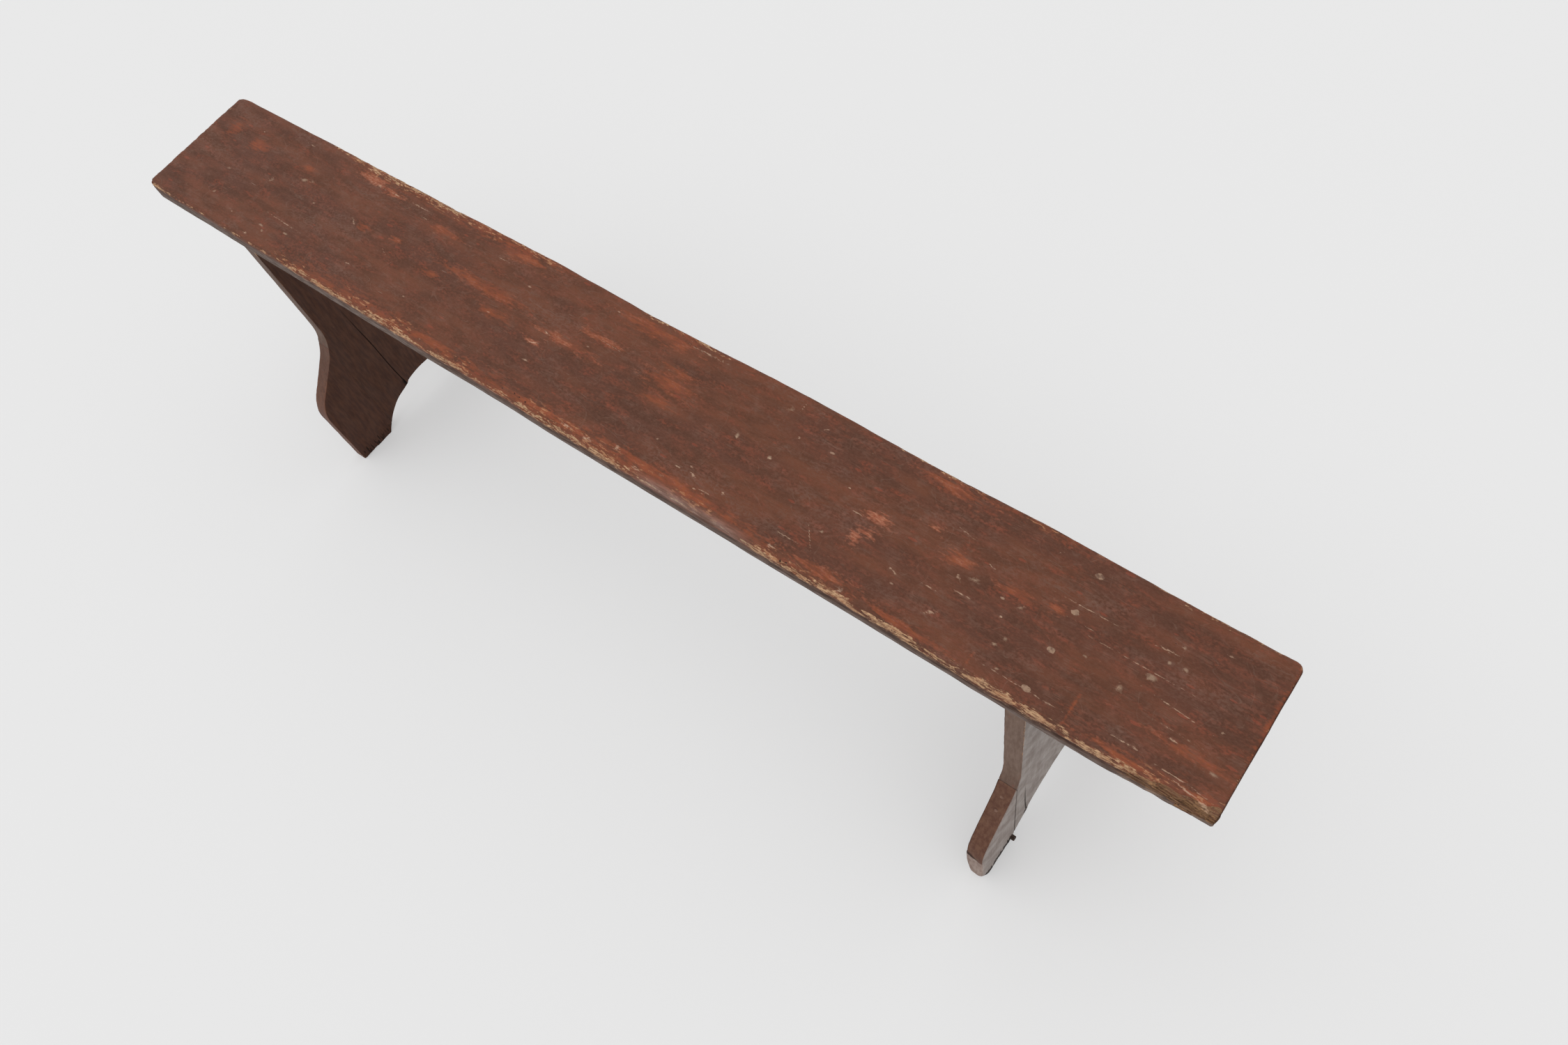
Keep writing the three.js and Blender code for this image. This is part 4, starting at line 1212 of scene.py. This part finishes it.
nails = {
    # sizes in millimetres: the head's along and across the row's turn and its thickness, then the shank's
    "seat": {"Count": 4, "Head Size": (9.8, 6.6, 1.4), "Shank Size": (3.8, 3.8, 60)},
    "wing": {"Count": 2, "Head Size": (6.0, 4.0, 1.8), "Shank Size": (3.2, 3.2, 56)},
    "seatShares": (-0.79, 0.79),  # the first and last nail, as shares of the leg's half width
    "wingFirst": -6, "wingPitch": 18,  # down the slope from its upper end
    "sink": 0.5,
    "smallest": (0.85, 0.85, 1), "largest": (1.1, 1.15, 1), "seed": 7,
    "lump": 3.8, "lumpHeight": 1.1, "lumpMiddle": (0.5, 0.5, 0.62),
    "putty": ("#6d5142", "#9a7c67"), "grimyPutty": ("#5a3c30", "#7c5e50"),
    "puttyPatch": 4, "puttyRough": 0.75, "puttyGloss": 0.25,
    "puttyGrime": (0.38, 0.56), "puttyBump": 0.5, "puttyBumpHeight": 0.2,
    "ball": {"Segments": 20, "Rings": 10, "Radius": 0.5 * mm},
    "spike": {"Vertices": 4, "Radius Top": 0.3, "Radius Bottom": 0.7, "Depth": 1.0},
}


# A row of cut nails, each with a lump of filler over its head and a tapered shank below
def nailNodes():
    tree = nodeGroup("nailRow", {
        "Geometry": "NodeSocketGeometry", "Count": "NodeSocketInt", "Start": "NodeSocketVector",
        "Pitch": "NodeSocketVector", "Turn": "NodeSocketRotation", "Head Size": "NodeSocketVector",
        "Shank Size": "NodeSocketVector", "Seed": "NodeSocketInt", "Finish": "NodeSocketMaterial",
    })
    given = addNode(tree, "NodeGroupInput").outputs
    line = addNode(tree, "GeometryNodeMeshLine", {
        "Count": given["Count"], "Start Location": given["Start"], "Offset": given["Pitch"],
    })
    ball = addNode(tree, "GeometryNodeMeshUVSphere", nails["ball"])
    head = addNode(tree, "GeometryNodeTransform", {"Geometry": ball, "Scale": given["Head Size"]})
    spike = addNode(tree, "GeometryNodeMeshCone", nails["spike"])
    down = addNode(tree, "ShaderNodeVectorMath", {0: given["Shank Size"], "Scale": -mm}, operation="SCALE")
    shank = addNode(tree, "GeometryNodeTransform", {
        "Geometry": spike, "Rotation": (0, 0, math.pi / 4), "Scale": down,
    })
    nail = addNode(tree, "GeometryNodeJoinGeometry")
    for part in (head, shank):
        tree.links.new(part.outputs[0], nail.inputs[0])
    size = addNode(tree, "FunctionNodeRandomValue", {
        "Min": nails["smallest"], "Max": nails["largest"], "Seed": given["Seed"],
    }, data_type="FLOAT_VECTOR")
    row = addNode(tree, "GeometryNodeInstanceOnPoints", {
        "Points": line, "Instance": nail, "Rotation": given["Turn"], "Scale": size,
    })
    real = addNode(tree, "GeometryNodeRealizeInstances", {"Geometry": row})
    place = addNode(tree, "GeometryNodeInputPosition")
    noise = addNode(tree, "ShaderNodeTexNoise", {
        "Vector": place, "Scale": 1 / (nails["lump"] * mm), "Detail": 2,
    })
    centred = addNode(tree, "ShaderNodeVectorMath", {0: noise.outputs["Color"], 1: nails["lumpMiddle"]},
                      operation="SUBTRACT")
    shift = addNode(tree, "ShaderNodeVectorMath", {0: centred, "Scale": nails["lumpHeight"] * mm},
                    operation="SCALE")
    rough = addNode(tree, "GeometryNodeSetPosition", {"Geometry": real, "Offset": shift})
    smooth = addNode(tree, "GeometryNodeSetShadeSmooth", {"Geometry": rough})
    finished = addNode(tree, "GeometryNodeSetMaterial", {"Geometry": smooth, "Material": given["Finish"]})
    addNode(tree, "NodeGroupOutput", {"Geometry": finished})
    return tree


# Hard putty pressed over old nail heads: pale and matt, with brown grime in its dips
def nailFiller(name, dark, light):
    material, tree, shader = startMaterial(name, nails["puttyRough"], nails["puttyGloss"])
    place = addNode(tree, "ShaderNodeTexCoord").outputs["Object"]
    broad = addNode(tree, "ShaderNodeTexNoise", {
        "Vector": place, "Scale": 1 / (nails["puttyPatch"] * mm), "Detail": 4,
    })
    low, high = nails["puttyGrime"]
    patch = addNode(tree, "ShaderNodeMapRange", {"Value": broad, "From Min": low, "From Max": high})
    tint = addNode(tree, "ShaderNodeMix", {0: patch, 6: colour(dark), 7: colour(light)}, data_type="RGBA")
    tree.links.new(tint.outputs[2], shader.inputs["Base Color"])
    bump = addNode(tree, "ShaderNodeBump", {
        "Height": broad, "Strength": nails["puttyBump"], "Distance": nails["puttyBumpHeight"] * mm,
    })
    tree.links.new(bump.outputs["Normal"], shader.inputs["Normal"])
    return material


def makeNails(seatPaint, wingPaint):
    group = nailNodes()
    filler = nailFiller("oldPuttyOverNail", *nails["putty"])
    grimyFiller = nailFiller("grimyPuttyOverNail", *nails["grimyPutty"])
    first, last = (share * legs["topHalf"] for share in nails["seatShares"])
    sine, cosine = math.sin(lean), math.cos(lean)
    wingY = legs["slopeTopHalf"] + nails["wingFirst"] * sine - nails["sink"] * cosine
    wingZ = legs["slopeTop"] - nails["wingFirst"] * cosine - nails["sink"] * sine
    for side in ("left", "right"):
        centre = legCentre(side)
        start = Vector((centre, first, plank["top"] - nails["sink"]))
        pitch = Vector((0, (last - first) / (nails["seat"]["Count"] - 1), 0))
        rows = [("seat", "seat", start, pitch, 0.0, filler if side == "right" else seatPaint)]
        for end, sign in (("front", -1), ("back", 1)):
            start = Vector((centre, sign * wingY, wingZ))
            pitch = Vector((0, sign * sine, -cosine)) * nails["wingPitch"]
            seen = grimyFiller if (side, end) == ("right", "front") else wingPaint
            rows.append((f"{end}_wing", "wing", start, pitch, -sign * (math.pi / 2 - lean), seen))
        for label, kind, start, pitch, turn, finish in rows:
            piece = meshPiece(f"cut_nails_{side}_{label}", np.zeros((0, 3)), np.zeros((0, 4), int), {})
            runNodes(piece, group, dict(
                nails[kind], Start=start * mm, Pitch=pitch * mm, Turn=(turn, 0, 0), Seed=nails["seed"],
                Finish=finish,
            ))
            names = [f"{side}_{label}_nail_{index + 1}" for index in range(nails[kind]["Count"])]
            settle(piece, "nail_filler", *names)


# Peg

peg = {
    "grid": (1.2, 1, 2, 0.5), "linesAcross": 11,
    "short": 0.6, "lostAtEnd": 0.8, "tapers": (2.4, 0.4),
    "relief": {"Grain": ((14, 1.6, 1.6), 0.3), "Dent": ((5, 5, 5), 0.2)}, "reliefSeed": 2.0,
    "wood": ("#2a1d17", "#4c3a30"), "grain": (8, 1.1, 1.1), "roughness": 0.7, "gloss": 0.3,
    "tone": (0.35, 0.65), "bump": 0.6, "bumpHeight": 0.3,
}


# Riven hardwood peg gone nearly black: close grain along it, dull, with a paler split end
def pegWood():
    material, tree, shader = startMaterial("darkRivenHardwood", peg["roughness"], peg["gloss"])
    dark, light = peg["wood"]
    place = addNode(tree, "ShaderNodeTexCoord").outputs["Object"]
    stretched = patternPlace(tree, place, (0, 1, 2), peg["grain"], 0)
    grain = addNode(tree, "ShaderNodeTexNoise", {"Vector": stretched, "Scale": 1.0, "Detail": 3})
    low, high = peg["tone"]
    tone = addNode(tree, "ShaderNodeMapRange", {"Value": grain, "From Min": low, "From Max": high})
    tint = addNode(tree, "ShaderNodeMix", {0: tone, 6: colour(dark), 7: colour(light)}, data_type="RGBA")
    tree.links.new(tint.outputs[2], shader.inputs["Base Color"])
    bump = addNode(tree, "ShaderNodeBump", {
        "Height": grain, "Strength": peg["bump"], "Distance": peg["bumpHeight"] * mm,
    })
    tree.links.new(bump.outputs["Normal"], shader.inputs["Normal"])
    return material


def makePeg(relief):
    low, high = (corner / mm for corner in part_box("right_front_peg"))
    lines = np.linspace(-1, 1, peg["linesAcross"])
    points, quads = blockShell(gridLines(low.x, high.x - peg["short"], peg["grid"]), lines, lines)
    u, v = squareToRound(points[:, 1], points[:, 2])
    radius = (high.y - low.y) / 2 - peg["lostAtEnd"] * ramp(high.x - points[:, 0], *peg["tapers"]) ** 2
    points[:, 1] = (low.y + high.y) / 2 + radius * u
    points[:, 2] = (low.z + high.z) / 2 + radius * v
    piece = meshPiece("riven_peg", points, quads, {})
    carveRelief(piece, relief, peg["relief"], peg["reliefSeed"], pegWood())
    settle(piece, "dark_peg", "right_front_peg")


makeCamera()
makeStudio()
relief = reliefNodes()
seatPaint = paintedWood("brushedOilPaintOnPlank", seatLook)
legPaint = paintedWood("brushedOilPaintOnLegBoard", legLook)
wingPaint = paintedWood("brushedOilPaintOnFoot", wingLook)
makePlank(relief, seatPaint)
for side in ("left", "right"):
    makeLegBoard(side, relief, legPaint)
    for end in ("front", "back"):
        makeWing(side, end, relief, wingPaint)
makeNails(seatPaint, wingPaint)
makePeg(relief)
